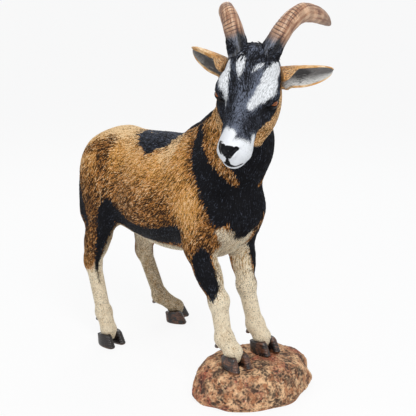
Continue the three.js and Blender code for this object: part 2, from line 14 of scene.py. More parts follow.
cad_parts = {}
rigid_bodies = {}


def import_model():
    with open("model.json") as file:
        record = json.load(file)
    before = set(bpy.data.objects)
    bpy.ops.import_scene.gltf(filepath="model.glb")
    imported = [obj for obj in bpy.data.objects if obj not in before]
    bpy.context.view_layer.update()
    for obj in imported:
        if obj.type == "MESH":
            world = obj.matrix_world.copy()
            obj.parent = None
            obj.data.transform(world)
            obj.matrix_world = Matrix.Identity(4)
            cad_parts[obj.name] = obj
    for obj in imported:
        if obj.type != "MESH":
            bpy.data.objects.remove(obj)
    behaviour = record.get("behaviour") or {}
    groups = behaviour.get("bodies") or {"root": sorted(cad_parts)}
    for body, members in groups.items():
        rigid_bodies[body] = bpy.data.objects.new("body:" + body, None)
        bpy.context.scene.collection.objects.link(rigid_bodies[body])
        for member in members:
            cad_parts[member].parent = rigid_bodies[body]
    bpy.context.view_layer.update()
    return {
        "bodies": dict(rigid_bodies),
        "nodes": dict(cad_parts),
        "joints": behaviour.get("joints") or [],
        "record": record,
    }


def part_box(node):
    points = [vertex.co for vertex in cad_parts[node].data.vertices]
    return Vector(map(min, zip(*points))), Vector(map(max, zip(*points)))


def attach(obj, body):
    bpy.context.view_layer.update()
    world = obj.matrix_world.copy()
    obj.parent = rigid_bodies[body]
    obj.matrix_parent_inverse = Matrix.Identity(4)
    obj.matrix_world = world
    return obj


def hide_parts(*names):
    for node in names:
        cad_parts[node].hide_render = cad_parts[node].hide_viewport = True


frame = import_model()
MM = 0.001


def vec(x, y, z):
    return np.array((x, y, z), float)


def unit(v):
    return v / np.linalg.norm(v)


def lengths(rows):
    return np.sqrt(np.einsum("ij,ij->i", rows, rows))


def units(rows):
    return rows / np.maximum(lengths(rows), 1e-9)[:, None]


def smooth_step(low, high, x):
    t = np.clip((x - low) / (high - low), 0, 1)
    return t * t * (3 - 2 * t)


# ---------------------------------------------------------------- the head's own frame
# x runs from the poll towards the nose, y to the goat's left, z out of the forehead.
POLL = vec(312, -60, 829)
NOSE_LINE = unit(vec(0.239, -0.512, -0.824))
FACE_OUT = unit(np.cross(NOSE_LINE, vec(0.81, 0.576, -0.123)))
HEAD_LEFT = np.cross(FACE_OUT, NOSE_LINE)
HEAD_AXES = np.array([NOSE_LINE, HEAD_LEFT, FACE_OUT])
EYE_RADIUS = 13.0
LID_THICKNESS = 2.2


def in_head(x, y, z):
    return POLL + vec(x, y, z) @ HEAD_AXES


def to_head(points):
    return (points - POLL) @ HEAD_AXES.T


def eye_place(side):
    """The middle of an eye in the head's own frame."""
    return vec(100, side * 54, -38)


def eye_centre(side):
    return in_head(*eye_place(side))


def origin_shift():
    """Where the frame's origin lies in the sculptor's millimetres, from the left eye's place."""
    low, high = (np.array(corner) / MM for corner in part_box("eye_left"))
    return eye_centre(1) - (low + high) / 2


ORIGIN = origin_shift()


# ---------------------------------------------------------------- flesh as fields of distance
# Each muscle or bone is a function of points: below zero inside it and above zero outside.
def limb(start, end, start_radius, end_radius, thin=1.0):
    start, end = np.array(start, float), np.array(end, float)
    run = end - start
    length2 = run @ run

    def field(points):
        off = points - start
        t = np.clip(off @ run / length2, 0, 1)
        off -= t[:, None] * run
        off[:, 1] /= thin
        return (lengths(off) - (start_radius + (end_radius - start_radius) * t)) * min(1, thin)
    return field


def chain(*knots):
    """Limbs end to end; each knot is a point and its radius."""
    pairs = [limb(a[:3], b[:3], a[3], b[3]) for a, b in zip(knots, knots[1:])]
    return lambda points: np.min([field(points) for field in pairs], axis=0)


def bulge(centre, radii):
    centre, radii = np.array(centre, float), np.array(radii, float)

    def field(points):
        a = (points - centre) / radii
        k = lengths(a)
        return k * (k - 1) / np.maximum(lengths(a / radii), 1e-9)
    return field


def joined(a, b, soft):
    h = np.maximum(soft - np.abs(a - b), 0) / soft
    return np.minimum(a, b) - h * h * soft / 4


def carved(a, b, soft):
    """What is left of a once b is taken away, with an edge rounded over `soft`."""
    return -joined(-a, b, soft)


def flow(soft, fields):
    def field(points):
        values = fields[0](points)
        for other in fields[1:]:
            values = joined(values, other(points), soft)
        return values
    return field


FAR_OFF = 60.0  # what a field is taken to be away from its own box


def near(field, low, high):
    """The same field, worked out only inside a box round its zero."""
    low, high = np.array(low, float), np.array(high, float)

    def boxed(points):
        inside = np.all((points > low) & (points < high), axis=1)
        values = np.full(len(points), FAR_OFF)
        if inside.any():
            values[inside] = field(points[inside])
        return values
    return boxed


def between(a, b, t):
    return a + (b - a) * t


def both(make):
    """What `make` gives for the right side and for the left."""
    return [make(-1), make(1)]


# ---------------------------------------------------------------- how the goat stands
SIDES = {"right": -1, "left": 1}
ROCK_HEIGHT = 80.0
HIND = {
    -1: dict(hip=vec(-256, -46, 476), stifle=vec(-226, -80, 352), hock=vec(-272, -86, 214),
             fetlock=vec(-236, -82, 80), foot=vec(-198, -88, 0), yaw=6, spread=5),
    1: dict(hip=vec(-256, 46, 476), stifle=vec(-226, 80, 352), hock=vec(-276, 90, 208),
            fetlock=vec(-240, 116, 76), foot=vec(-208, 156, 0), yaw=42, spread=16),
}
FORE = {
    -1: dict(withers=vec(92, -46, 530), shoulder=vec(170, -64, 440), elbow=vec(154, -78, 356),
             knee=vec(211, -68, 238), fetlock=vec(225, -62, 148), foot=vec(256, -54, ROCK_HEIGHT),
             yaw=-4, spread=4),
    1: dict(withers=vec(92, 46, 530), shoulder=vec(156, 52, 440), elbow=vec(138, 68, 356),
            knee=vec(180, 50, 242), fetlock=vec(208, 56, 146), foot=vec(236, 60, ROCK_HEIGHT),
            yaw=4, spread=4),
}
CLAW_LENGTH, CLAW_WIDTH, CLAW_HEIGHT, CLEFT = 60.0, 26.0, 35.0, 5.0
BODY_HEIGHT = 450.0


def coronet(pose):
    return pose["foot"] + vec(-8, 0, CLAW_HEIGHT + 2)


def shank(pose, top):
    """Below the hock or knee: the cannon, its sinews, the fetlock and the pastern."""
    fetlock, foot = pose["fetlock"], pose["foot"]
    back = vec(-9, 0, 0)
    return flow(9, [
        limb(top, fetlock, 21, 19),
        limb(top + back, fetlock + back, 12, 13),
        bulge(fetlock, (24, 22, 24)),
        limb(fetlock, coronet(pose), 21, 21),
        limb(coronet(pose), foot + vec(-4, 0, 25), 21, 14),
    ])


def hind_leg(pose):
    hip, stifle, hock = pose["hip"], pose["stifle"], pose["hock"]
    calf = between(stifle, hock, 0.6)
    return flow(10, [
        flow(24, [
            limb(hip, stifle, 70, 42, 0.64),
            limb((-306, hip[1], 400), between(stifle, hock, 0.5) + vec(-22, 0, 0), 42, 24, 0.75),
            limb(stifle, calf, 36, 26, 0.74),
            limb(between(stifle, hock, 0.4), hock, 30, 21),
            limb(calf + vec(-18, 0, 0), hock + vec(-12, 0, 14), 11, 12),
        ]),
        bulge(hock, (25, 22, 30)),
        bulge(hock + vec(-15, 0, 16), (12, 13, 16)),
        shank(pose, hock),
    ])


def fore_leg(pose):
    shoulder, elbow, knee = pose["shoulder"], pose["elbow"], pose["knee"]
    return flow(10, [
        flow(20, [
            limb(shoulder, elbow, 44, 36, 0.66),
            limb(elbow, between(elbow, knee, 0.55), 36, 27, 0.85),
            limb(between(elbow, knee, 0.45), knee, 28, 20),
        ]),
        bulge(knee, (24, 23, 30)),
        bulge(knee + vec(6, 0, 2), (20, 20, 20)),
        shank(pose, knee),
    ])


trunk_form = flow(44, [
    flow(56, [
        bulge((-34, 0, BODY_HEIGHT - 12), (196, 106, 128)),
        bulge((112, 0, BODY_HEIGHT + 2), (116, 76, 130)),
        bulge((-242, 0, BODY_HEIGHT + 14), (110, 72, 107)),
        limb((-204, 0, BODY_HEIGHT + 78), (76, 0, BODY_HEIGHT + 92), 45, 52),
        limb((-150, 0, BODY_HEIGHT - 56), (-10, 0, BODY_HEIGHT - 54), 78, 80),
        limb((110, 0, BODY_HEIGHT - 54), (200, 0, BODY_HEIGHT - 6), 68, 46),
    ]),
] + [form for side in (-1, 1) for form in (
    limb(FORE[side]["withers"], FORE[side]["shoulder"], 42, 44, 0.66),
    limb(FORE[side]["shoulder"], between(FORE[side]["shoulder"], FORE[side]["elbow"], 0.5), 44, 40, 0.62),
    limb(HIND[side]["hip"], between(HIND[side]["hip"], HIND[side]["stifle"], 0.5), 70, 64, 0.66),
    limb((-312, side * 41.4, 440), (-300, side * 69, 350), 38, 32, 0.75),
)])

NECK_TOP = in_head(38, 0, -66)
NECK_BEND = vec(250, -24, 690)
neck_form = flow(40, [
    limb((92, 0, 488), (194, 2, 600), 112, 78, 0.84),
    limb((194, 2, 600), NECK_BEND, 77, 54, 0.9),
    limb(NECK_BEND, NECK_TOP, 54, 54, 0.94),
    limb((172, 24, 470), (214, 12, 610), 46, 44),
    limb((24, 0, 560), (84, -2, 590), 26, 28),
    limb((84, -2, 590), (140, -10, 626), 28, 18),
    limb((140, -10, 626), (184, -20, 660), 18, 8),
])
TAIL = [vec(-322, 0, 526), vec(-346, 0, 506), vec(-362, 0, 458), vec(-356, 0, 400)]
tail_form = flow(16, [
    limb(TAIL[0], TAIL[1], 20, 19), limb(TAIL[1], TAIL[2], 19, 18), limb(TAIL[2], TAIL[3], 18, 9)])


# ---------------------------------------------------------------- the head
skull_form = flow(16, [
    bulge((36, 0, -42), (60, 52, 50)),
    bulge((72, 0, -30), (56, 56, 34)),
    *both(lambda s: bulge((88, s * 48, -32), (27, 21, 22))),
    limb((92, 0, -40), (206, 2, -36), 43, 35, 0.98),
    limb((84, 0, -14), (222, -2, -13), 21, 12),
    limb((74, 0, -92), (214, 2, -62), 41, 26, 0.98),
    *both(lambda s: bulge((100, s * 41, -84), (62, 26, 41))),
    bulge((219, 1, -34), (31, 33.5, 28)),
    bulge((233, 0, -55), (18, 19, 13)),
])


def eye_frame(side):
    """The eye's slit, the way across it and the way it looks, in the head's frame."""
    look = unit(vec(0.24, side * 0.82, 0.52))
    slit = vec(0.78, -side * 0.42, 0.46)
    slit = unit(slit - look * (slit @ look))
    across = np.cross(look, slit) * side
    return slit, across, look


def lidded(side):
    """Lids stretched over the ball of the eye, then opened along an almond."""
    centre = eye_place(side)
    slit, across, look = eye_frame(side)
    half_length, half_height = 12.5, 3.4

    def lids(points):
        return lengths(points - centre) - (EYE_RADIUS + LID_THICKNESS)

    def opening(points):
        off = points - centre
        u, v, w = off @ slit, off @ across, off @ look
        almond = np.abs(v - 1.1 + 0.004 * u * u) - half_height * (1 - (u / half_length) ** 2)
        return np.maximum(np.maximum(almond * 0.8, 2 - w), EYE_RADIUS - 0.9 - lengths(off))
    return lids, opening


NOSE_SIDE = -4.0  # the muzzle's tip is turned a little to its right


def face_work(side):
    """What is added to one side of the face, and what is carved out of it; each with its softness."""
    n = NOSE_SIDE
    lids, opening = lidded(side)
    added = [
        (limb((68, side * 45, -20), (108, side * 46, -17), 12, 9), 9),
        (limb((112, side * 52, -62), (150, side * 38, -54), 9, 8), 14),
        (lids, 7),
        (limb((88, side * 60, -24), (116, side * 48, -22), 3.4, 2.0), 4),
        (limb((240, n + side * 9, -10), (222, n + side * 17, -6), 6.5, 5.5), 5),
        (limb((60, side * 40, -118), (168, side * 30, -92), 14, 17), 14),
        (limb((244, side * 8, -34), (224, side * 25.5, -40), 8, 8.5), 8),
    ]
    removed = [
        (limb((80, side * 57, -18), (116, side * 46, -15), 1.5, 1.0), 3),
        (limb((114, side * 47.5, -31), (134, side * 39, -32), 2.0, 0.8), 3),
        (opening, 1.2),
        (limb((238, n + side * 7, -3), (229, n + side * 14, -2), 2.4, 2.6), 3),
        (limb((229, n + side * 14, -2), (225, n + side * 20, -7), 2.6, 1.2), 3),
        (limb((251, n + side * 2, -38), (245, side * 19, -41), 1.8, 1.5), 2.5),
        (limb((245, side * 19, -41), (204, side * 35, -55), 1.5, 0.8), 2.5),
    ]
    return added, removed


FACE_WORK = both(face_work)
FACE_MIDDLE = [
    (limb((246, NOSE_SIDE, -12), (251, NOSE_SIDE, -34), 1.6, 2.0), 3),
    (limb((20, 0, 8), (70, 0, 14), 7, 3), 12),
]


def head_form(q):
    """The head's field, in its own frame."""
    d = skull_form(q)
    for added, removed in FACE_WORK:
        for form, soft in added:
            d = joined(d, form(q), soft)
    for added, removed in FACE_WORK:
        for form, soft in removed:
            d = carved(d, form(q), soft)
    for form, soft in FACE_MIDDLE:
        d = carved(d, form(q), soft)
    return d


def head_field(points):
    return head_form(to_head(points))


def low_high(*points, margin):
    stack = np.array(points)
    return stack.min(0) - margin, stack.max(0) + margin


def leg_box(pose):
    return low_high(*[value for value in pose.values() if isinstance(value, np.ndarray)], margin=95)


HEAD_BOX = low_high(in_head(-50, 0, -60), in_head(250, 0, -40), in_head(60, 60, -60),
                    in_head(60, -60, -60), in_head(90, 0, -150), margin=60)
neck_and_head = flow(34, [neck_form, near(head_field, *HEAD_BOX)])
flesh_field = flow(18, [
    flow(14, [trunk_form, near(tail_form, *low_high(*TAIL, margin=60))]),
    *[near(hind_leg(HIND[side]), *leg_box(HIND[side])) for side in (-1, 1)],
    *[near(fore_leg(FORE[side]), *leg_box(FORE[side])) for side in (-1, 1)],
    near(neck_and_head, (-70, -330, 330), (480, 160, 980)),
])
COAT_DEPTH = 1.0  # the skin lies this far below the tips of the coat


def skin_field(points):
    return flesh_field(points) + COAT_DEPTH


# ---------------------------------------------------------------- meshes from fields
TETRAHEDRON = np.array([[1, 1, 1], [1, -1, -1], [-1, 1, -1], [-1, -1, 1]], float)
SLOPE_STEP = 0.4
NET_BAND = 22.0  # how near its surface a field has to be for the net to look closely


def slope(field, points):
    total = np.zeros_like(points)
    for corner in TETRAHEDRON:
        total += corner * field(points + SLOPE_STEP * corner)[:, None]
    return total / (4 * SLOPE_STEP)


def settle(field, points, rounds, farthest):
    """Moves points down the field's slope until they lie on the surface."""
    start = points.copy()
    for _ in range(rounds):
        g = slope(field, points)
        points = points - g * (field(points) / np.maximum(0.2, np.einsum("ij,ij->i", g, g)))[:, None]
    off = points - start
    return start + off * np.minimum(1, farthest / np.maximum(lengths(off), 1e-9))[:, None]


def net_over(field, low, high, cell, block):
    """A closed four-sided net over a field's surface: one knot in each cell that the surface crosses."""
    counts = (np.ceil((high - low) / cell / block).astype(int)) * block + 1
    axes = [low[a] + cell * np.arange(counts[a]) for a in range(3)]
    rough_axes = [axis[::block] for axis in axes]
    rough_points = np.stack(np.meshgrid(*rough_axes, indexing="ij"), -1).reshape(-1, 3)
    rough = field(rough_points).reshape([len(axis) for axis in rough_axes])
    values = np.repeat(np.repeat(np.repeat(rough, block, 0), block, 1), block, 2)
    values = values[:counts[0], :counts[1], :counts[2]].astype(float)
    close = np.abs(rough) < NET_BAND
    blocks = np.zeros([n - 1 for n in rough.shape], bool)
    for i in (0, 1):
        for j in (0, 1):
            for k in (0, 1):
                blocks |= close[i:i + blocks.shape[0], j:j + blocks.shape[1], k:k + blocks.shape[2]]
    wanted = np.zeros(values.shape, bool)
    for i, j, k in np.argwhere(blocks) * block:
        wanted[i:i + block + 1, j:j + block + 1, k:k + block + 1] = True
    at = np.argwhere(wanted)
    values[wanted] = field(low + cell * at)

    inside = values < 0
    corner_cells, corner_points, quads = [], [], []
    size = np.array(values.shape)
    for axis in range(3):
        step = np.eye(3, dtype=int)[axis]
        side_u, side_v = np.eye(3, dtype=int)[(axis + 1) % 3], np.eye(3, dtype=int)[(axis + 2) % 3]
        near_end = tuple(slice(0, -1) if a == axis else slice(None) for a in range(3))
        far_end = tuple(slice(1, None) if a == axis else slice(None) for a in range(3))
        at = np.argwhere(inside[near_end] != inside[far_end])
        a, b = values[tuple(at.T)], values[tuple((at + step).T)]
        crossing = low + cell * (at + (a / (a - b))[:, None] * step)
        cells = [at, at - side_u, at - side_u - side_v, at - side_v]
        ids = np.stack([np.ravel_multi_index(tuple(c.T), size) for c in cells], 1)
        corner_cells.append(ids.ravel())
        corner_points.append(np.repeat(crossing, 4, axis=0))
        quads.append(np.where((a < 0)[:, None], ids, ids[:, ::-1]))
    names, index = np.unique(np.concatenate(corner_cells), return_inverse=True)
    points = np.concatenate(corner_points)
    share = np.bincount(index, minlength=len(names))
    knots = np.stack([np.bincount(index, points[:, a], len(names)) for a in range(3)], 1) / share[:, None]
    return knots, np.searchsorted(names, np.concatenate(quads))


def subdivided(points, faces, chosen):
    """Splits each face whose corners are all chosen in four, and fits its neighbours to it."""
    mesh = bpy.data.meshes.new("net")
    mesh.from_pydata(points, [], [list(face) for face in faces])
    net = bmesh.new()
    net.from_mesh(mesh)
    net.verts.ensure_lookup_table()
    for vert, keep in zip(net.verts, chosen):
        vert.tag = bool(keep)
    edges = [edge for edge in net.edges if edge.verts[0].tag and edge.verts[1].tag]
    bmesh.ops.subdivide_edges(net, edges=edges, cuts=1, use_grid_fill=True)
    net.to_mesh(mesh)
    net.free()
    new_points = np.empty(len(mesh.vertices) * 3)
    mesh.vertices.foreach_get("co", new_points)
    new_faces = [tuple(polygon.vertices) for polygon in mesh.polygons]
    bpy.data.meshes.remove(mesh)
    return new_points.reshape(-1, 3), new_faces


def place(points):
    """The sculptor's millimetres to the frame's metres."""
    return (points - ORIGIN) * MM


def ride_along(mesh, material, nodes=()):
    """Puts a mesh on the statue, in place of the solids' `nodes`."""
    mesh.materials.append(material)
    mesh.update()
    piece = bpy.data.objects.new(mesh.name, mesh)
    bpy.context.scene.collection.objects.link(piece)
    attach(piece, "root")
    if nodes:
        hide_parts(*nodes)
    return piece


def new_piece(name, points, faces, material, nodes, attributes):
    """A smooth mesh from the sculptor's points, with values for its paint at each."""
    mesh = bpy.data.meshes.new(name)
    mesh.from_pydata(place(points), [], faces)
    mesh.polygons.foreach_set("use_smooth", np.ones(len(mesh.polygons), bool))
    for key, values in attributes.items():
        kind, field = ("FLOAT_VECTOR", "vector") if values.ndim == 2 else ("FLOAT", "value")
        layer = mesh.attributes.new(key, kind, "POINT")
        layer.data.foreach_set(field, values.astype(np.float32).ravel())
    return ride_along(mesh, material, nodes)


# ---------------------------------------------------------------- where the paint changes
# Each marking is a form too: its paint lies where the form meets the coat. A stroke's knots are x, y, z
# and radius; on a mirrored stroke y is the distance out from the middle.
def mirrored(*knots):
    return any_of(*both(lambda side: chain(*[(x, side * y, z, r) for x, y, z, r in knots])))


def any_of(*fields):
    return lambda points: np.min([field(points) for field in fields], axis=0)


def on_the_head(form):
    return lambda points: form(to_head(points))


def head_mark(*knots):
    return on_the_head(chain(*knots))


def nose_mark(*knots):
    """A mark whose y is measured from the middle of the nose."""
    return head_mark(*[(x, NOSE_SIDE + y, z, r) for x, y, z, r in knots])


saddle = any_of(bulge((-22, 0, 580), (52, 66, 34)), chain((-40, 0, 590, 24), (-140, 0, 590, 8)),
                mirrored((-118, 22, 584, 16), (-84, 38, 575, 27), (-50, 61, 555, 14), (-20, 42, 578, 20)),
                chain((0, 0, 600, 24), (50, -6, 618, 23), (84, -14, 632, 22), (120, -26, 650, 21),
                      (150, -34, 670, 18), (190, -52, 706, 16), (240, -50, 770, 20), (275, -56, 830, 30)))
shoulder_band = mirrored((130, 50, 640, 9), (138, 60, 622, 18), (147, 70, 600, 29), (155, 77, 574, 30),
                         (169, 80, 547, 31), (188, 82, 522, 32), (207, 82, 498, 31), (221, 80, 474, 31),
                         (228, 78, 452, 28))
chest = chain((280, -28, 690, 40), (268, -14, 640, 52), (262, 0, 560, 66), (244, 0, 500, 80),
              (236, -8, 452, 58), (226, -10, 408, 27))
neck_wedge = mirrored((190, 84, 680, 44), (186, 80, 620, 30), (208, 72, 572, 20), (226, 58, 540, 14),
                      (240, 34, 508, 8))
belly_stripe = mirrored((-176, 100, 396, 18), (-154, 90, 364, 30), (-100, 88, 346, 26), (-40, 90, 348, 23),
                        (20, 90, 354, 25), (72, 88, 368, 28), (96, 84, 384, 22))
thigh_stripe = any_of(
    mirrored((-176, 100, 404, 10), (-184, 104, 382, 24), (-198, 90, 344, 25), (-214, 92, 308, 19)),
    chain((-214, -92, 308, 19), (-229, -94, 270, 14), (-242, -92, 232, 8), (-247, -92, 200, 5),
          (-240, -90, 166, 1)))
rear_streak = mirrored((-326, 70, 424, 19), (-304, 92, 376, 20), (-270, 106, 318, 7))
right_fore_patch = any_of(
    chain((176, -110, 346, 10), (184, -102, 334, 26), (194, -94, 302, 27), (207, -88, 276, 20),
          (213, -88, 250, 8)),
    chain((192, -98, 354, 16), (188, -98, 334, 22)))
left_fore_stripe = chain((206, 58, 388, 12), (197, 66, 358, 22), (194, 77, 324, 23), (196, 78, 292, 19),
                         (198, 74, 262, 11), (200, 72, 236, 3))
smudges = any_of(mirrored((-206, 64, 558, 16), (-219, 82, 533, 20), (-211, 92, 503, 20),
                          (-206, 101, 464, 18), (-188, 104, 418, 18)),
                 mirrored((-310, 84, 512, 10), (-240, 82, 542, 14)))
body_cream = any_of(
    bulge((-50, 0, 316), (186, 88, 32)),
    chain((60, 0, 330, 34), (150, 0, 344, 42), (212, -22, 362, 26), (226, -50, 392, 22), (230, -76, 408, 14)),
    chain((212, 10, 370, 26), (226, 10, 388, 19), (238, 14, 406, 8)),
    mirrored((-170, 48, 340, 24), (-204, 62, 298, 26), (-236, 68, 240, 20), (-258, 80, 196, 26)),
    mirrored((-200, 30, 330, 34), (-246, 44, 276, 26), (-264, 54, 236, 22), (-266, 66, 206, 18)),
    mirrored((-262, 88, 172, 36), (-240, 96, 90, 44), (-206, 120, 20, 66)),
    chain((200, -50, 344, 28), (215, -57, 300, 29), (226, -64, 258, 33), (222, -70, 206, 40),
          (236, -58, 110, 50)),
    chain((170, 40, 360, 24), (178, 34, 300, 26), (186, 40, 250, 28), (200, 54, 200, 40), (222, 58, 110, 50)))

head_region = near(lambda points: skull_form(to_head(points)) - 14, *HEAD_BOX)
cheeks = any_of(*both(lambda s: head_mark(
    (20, s * 66, -84, 26), (62, s * 66, -94, 36), (100, s * 62, -88, 26), (124, s * 58, -84, 24),
    (160, s * 46, -74, 24), (192, s * 42, -66, 17), (210, s * 40, -66, 8))))
forehead_drop = head_mark((28, -22, 4, 8), (42, -22, 6, 11), (56, -21, 7, 9), (80, -15, 8, 1))
forehead_streak = head_mark((61, 8, 9, 3), (40, 25, 5, 3))
left_brow = head_mark((28, 54, -22, 14), (56, 47, -6, 18), (84, 46, -4, 21), (108, 35, -4, 16),
                      (134, 18, -3, 8))
right_brow = head_mark((30, -60, -26, 14), (60, -53, -14, 14), (90, -49, -9, 12), (112, -39, -14, 6),
                       (136, -37, -30, 2))
muzzle = any_of(on_the_head(bulge((237, 3, -34), (46, 46, 46))),
                head_mark((208, -22, -12, 16), (197, -19, -8, 13)),
                head_mark((212, -10, 0, 13), (202, -8, 2, 12)),
                head_mark((212, 36, -28, 10), (192, 36, -28, 9)))
nose_leather = any_of(
    nose_mark((217, -24, -14, 5.5), (222, -20, -10, 8), (227, -14, -8, 8), (238, -7, -8, 7.5),
              (247, -2, -17, 5.5)),
    nose_mark((226, 13, -6, 6.5), (238, 5, -7, 7.5), (247, -2, -17, 5.5)),
    nose_mark((230, -5, -3, 6), (230, 5, -2, 6)),
    nose_mark((224, -23, -15, 6.5), (234, -16, -16, 8)))
philtrum_mark = nose_mark((248, -2, -18, 4.5), (251, -2, -28, 5), (251, -3, -37, 8.5))
lips = any_of(*both(lambda s: head_mark(
    (251, NOSE_SIDE + s * 3, -41, 8.5), (245, s * 18, -42, 5), (226, s * 27, -48, 2.8),
    (204, s * 35, -55, 1.2))))
eye_surround = any_of(*both(lambda s: head_mark(
    (76, s * 68, -58, 5), (88, s * 66, -48, 8), (102, s * 62, -40, 12), (116, s * 52, -34, 9),
    (138, s * 42, -30, 5))))
black_marks = any_of(saddle, shoulder_band, chest, belly_stripe, thigh_stripe, rear_streak, right_fore_patch,
                     left_fore_stripe)
white_marks = any_of(forehead_drop, forehead_streak, left_brow, right_brow, muzzle)
leather_marks = any_of(nose_leather, philtrum_mark, lips, eye_surround)
raised_bone = any_of(limb((100, -3, 6), (184, -1, 3), 0, 0), limb((70, 26, 4), (120, 14, 4), 0, 0),
                     limb((4, -20, 0), (10, 26, 0), 0, 0))


def hump(distance, reach):
    """1 at no distance, and fading away past `reach`."""
    return np.exp(-(distance / reach) ** 2)


def dry_brushing_and_sheen(points, q, white, on_head):
    """How much pale paint was dragged over the high spots, most down the bridge and beside the white, with a
    painted sheen that pales the top of the back.
    """
    # Painted sheen: the top of the back, above 520 mm, made paler.
    painted_sheen_on_back = smooth_step(520, 590, points[:, 2]) * (points[:, 0] < 60)
    shine = hump(raised_bone(q), 15)
    faded = hump(np.clip(white, 0, 40), 8) * (q[:, 2] > -40)
    return 0.1 + 0.4 * painted_sheen_on_back + on_head * (0.22 + 0.7 * shine + 0.5 * faded)


def wash_and_painted_shade(points, q, black, cream, on_head):
    """How much dark paint was left in the hollows, and a painted shade that darkens the trunk towards the
    belly: most on belly, thigh and neck, least on the nose.
    """
    x, y, z = points.T
    shoulder = lengths((points - vec(134, 0, 482)) / vec(76, 400, 120))
    thigh = lengths((points - vec(-240, 0, 330)) / vec(90, 400, 100))
    # Painted shade: the trunk darker from 550 mm down, less on the shoulder and more on the thigh.
    low = 0.62 - 0.5 * smooth_step(1.2, 0.5, shoulder) + 0.27 * smooth_step(1.2, 0.5, thigh)
    low *= smooth_step(550, 420, z) * (0.7 + 0.3 * smooth_step(190, 330, z))
    on_neck = 0.42 * smooth_step(20, -10, neck_form(points))
    left_hind = 0.75 * smooth_step(330, 250, z) * (x < -100) * (y > 0)
    wash = np.maximum(np.maximum(low, on_neck), left_hind) * (1 - 0.6 * on_head) + 0.06
    wash = np.maximum(wash, 0.75 * smooth_step(22, -14, smudges(points)))
    border = hump(np.clip(black, 0, 60), 15) * (1 - on_head)
    on_cream = smooth_step(8, -8, cream)
    wash = wash + 0.32 * border * (1 - on_cream) - 0.06 * on_cream * (y > 0)
    on_lip = hump(lengths((q - vec(208, 30, -38)) / vec(24, 16, 30)), 1)
    return wash + on_head * (0.29 - 0.61 * smooth_step(176, 200, q[:, 0]) + 0.7 * on_lip)


def markings(points):
    """How far, in centimetres, each paint reaches past these points; below zero it stops short.

    The wash with its painted shade and the dry brushing with its painted sheen are amounts instead, mostly
    from 0 to 1."""
    q = to_head(points)
    head = head_region(points)
    black_body = np.maximum(black_marks(points), -neck_wedge(points))
    black_head = np.maximum(np.maximum(head, -cheeks(points)), q[:, 2] - 40)
    white, cream = white_marks(points), body_cream(points)
    reach = dict(black=np.minimum(black_body, black_head), cream=cream, white=white,
                 leather=leather_marks(points))
    paints = {"paint_" + key: np.clip(-value / 10, -3, 3) for key, value in reach.items()}
    on_head = smooth_step(14, 0, head)
    # Dry brushing, with a painted sheen on the top of the back; then the dark wash, with a painted shade low
    # on the trunk.
    paints["paint_dry"] = dry_brushing_and_sheen(points, q, white, on_head)
    paints["paint_wash"] = wash_and_painted_shade(points, q, black_body, cream, on_head)
    return paints


# ---------------------------------------------------------------- how the coat lies
LIE_LINES = [  # start, end, the way the hair runs there, and how far that reaches
    ((150, 0, 470), (-200, 0, 470), (-1.0, 0, -0.75), 70),
    ((60, 0, 560), (-250, 0, 560), (-1.0, 0, -0.12), 40),
    ((-260, -60, 450), (-320, -40, 430), (-0.35, 0, -1.0), 45),
    ((-260, 60, 450), (-320, 40, 430), (-0.35, 0, -1.0), 45),
    (TAIL[0], TAIL[3], (-0.3, 0, -1.0), 14),
    ((230, 0, 560), (230, 0, 420), (-0.15, 0, -1.0), 40),
    ((150, -80, 520), (150, -80, 400), (-0.35, 0, -1.0), 30),
    ((150, 80, 520), (150, 80, 400), (-0.35, 0, -1.0), 30),
    ((194, 2, 600), NECK_BEND, (194, 2, 560) - NECK_BEND, 40),
    (NECK_BEND, in_head(0, 0, -90), NECK_BEND - in_head(20, 0, -60), 34),
    (in_head(20, 0, -30), in_head(240, 0, -30), -NOSE_LINE, 34),
]
for pose_of, joints in ((HIND, ("stifle", "hock", "fetlock")), (FORE, ("elbow", "knee", "fetlock"))):
    for pose in pose_of.values():
        for upper, lower in zip(joints, joints[1:]):
            LIE_LINES.append((pose[upper], pose[lower], pose[lower] - pose[upper], 20))
        LIE_LINES.append((pose["fetlock"], coronet(pose), coronet(pose) - pose["fetlock"], 12))
WHORL_REACH = 46.0  # the hair turns outwards from a whorl on the forehead


def lie_of_coat(points, normals):
    total = np.zeros_like(points)
    for start, end, way, reach in LIE_LINES:
        distance = np.maximum(limb(start, end, 0, 0)(points), 0)
        share = np.exp(-(distance / reach) ** 2 * 0.5)
        total += (share + 1e-5 / (1 + distance))[:, None] * unit(np.array(way, float))
    q = to_head(points)
    whorl = hump(lengths(q - vec(60, 0, 5)), WHORL_REACH)[:, None]
    outward = (q - vec(86, 0, 5)) * vec(0.6, 1.1, 0)
    total += 0.3 * whorl * (units(outward) @ HEAD_AXES)
    total -= np.einsum("ij,ij->i", total, normals)[:, None] * normals
    return units(total)


# ---------------------------------------------------------------- finishes
def colour(red, green, blue):
    """A paint's colour as mixed on the palette, made linear for the shader."""
    channels = [c / 255 for c in (red, green, blue)]
    return (*[c / 12.92 if c <= 0.04045 else ((c + 0.055) / 1.055) ** 2.4 for c in channels], 1.0)


class Wire:
    """A value or colour inside a shader; sums, differences and products of wires make Math nodes."""

    def __init__(self, shader, socket):
        self.shader, self.socket = shader, socket

    def __add__(self, other):
        return self.shader.math("ADD", self, other)

    def __sub__(self, other):
        return self.shader.math("SUBTRACT", self, other)

    def __rsub__(self, other):
        return self.shader.math("SUBTRACT", other, self)

    def __mul__(self, other):
        return self.shader.math("MULTIPLY", self, other)

    def __abs__(self):
        return self.shader.math("ABSOLUTE", self)


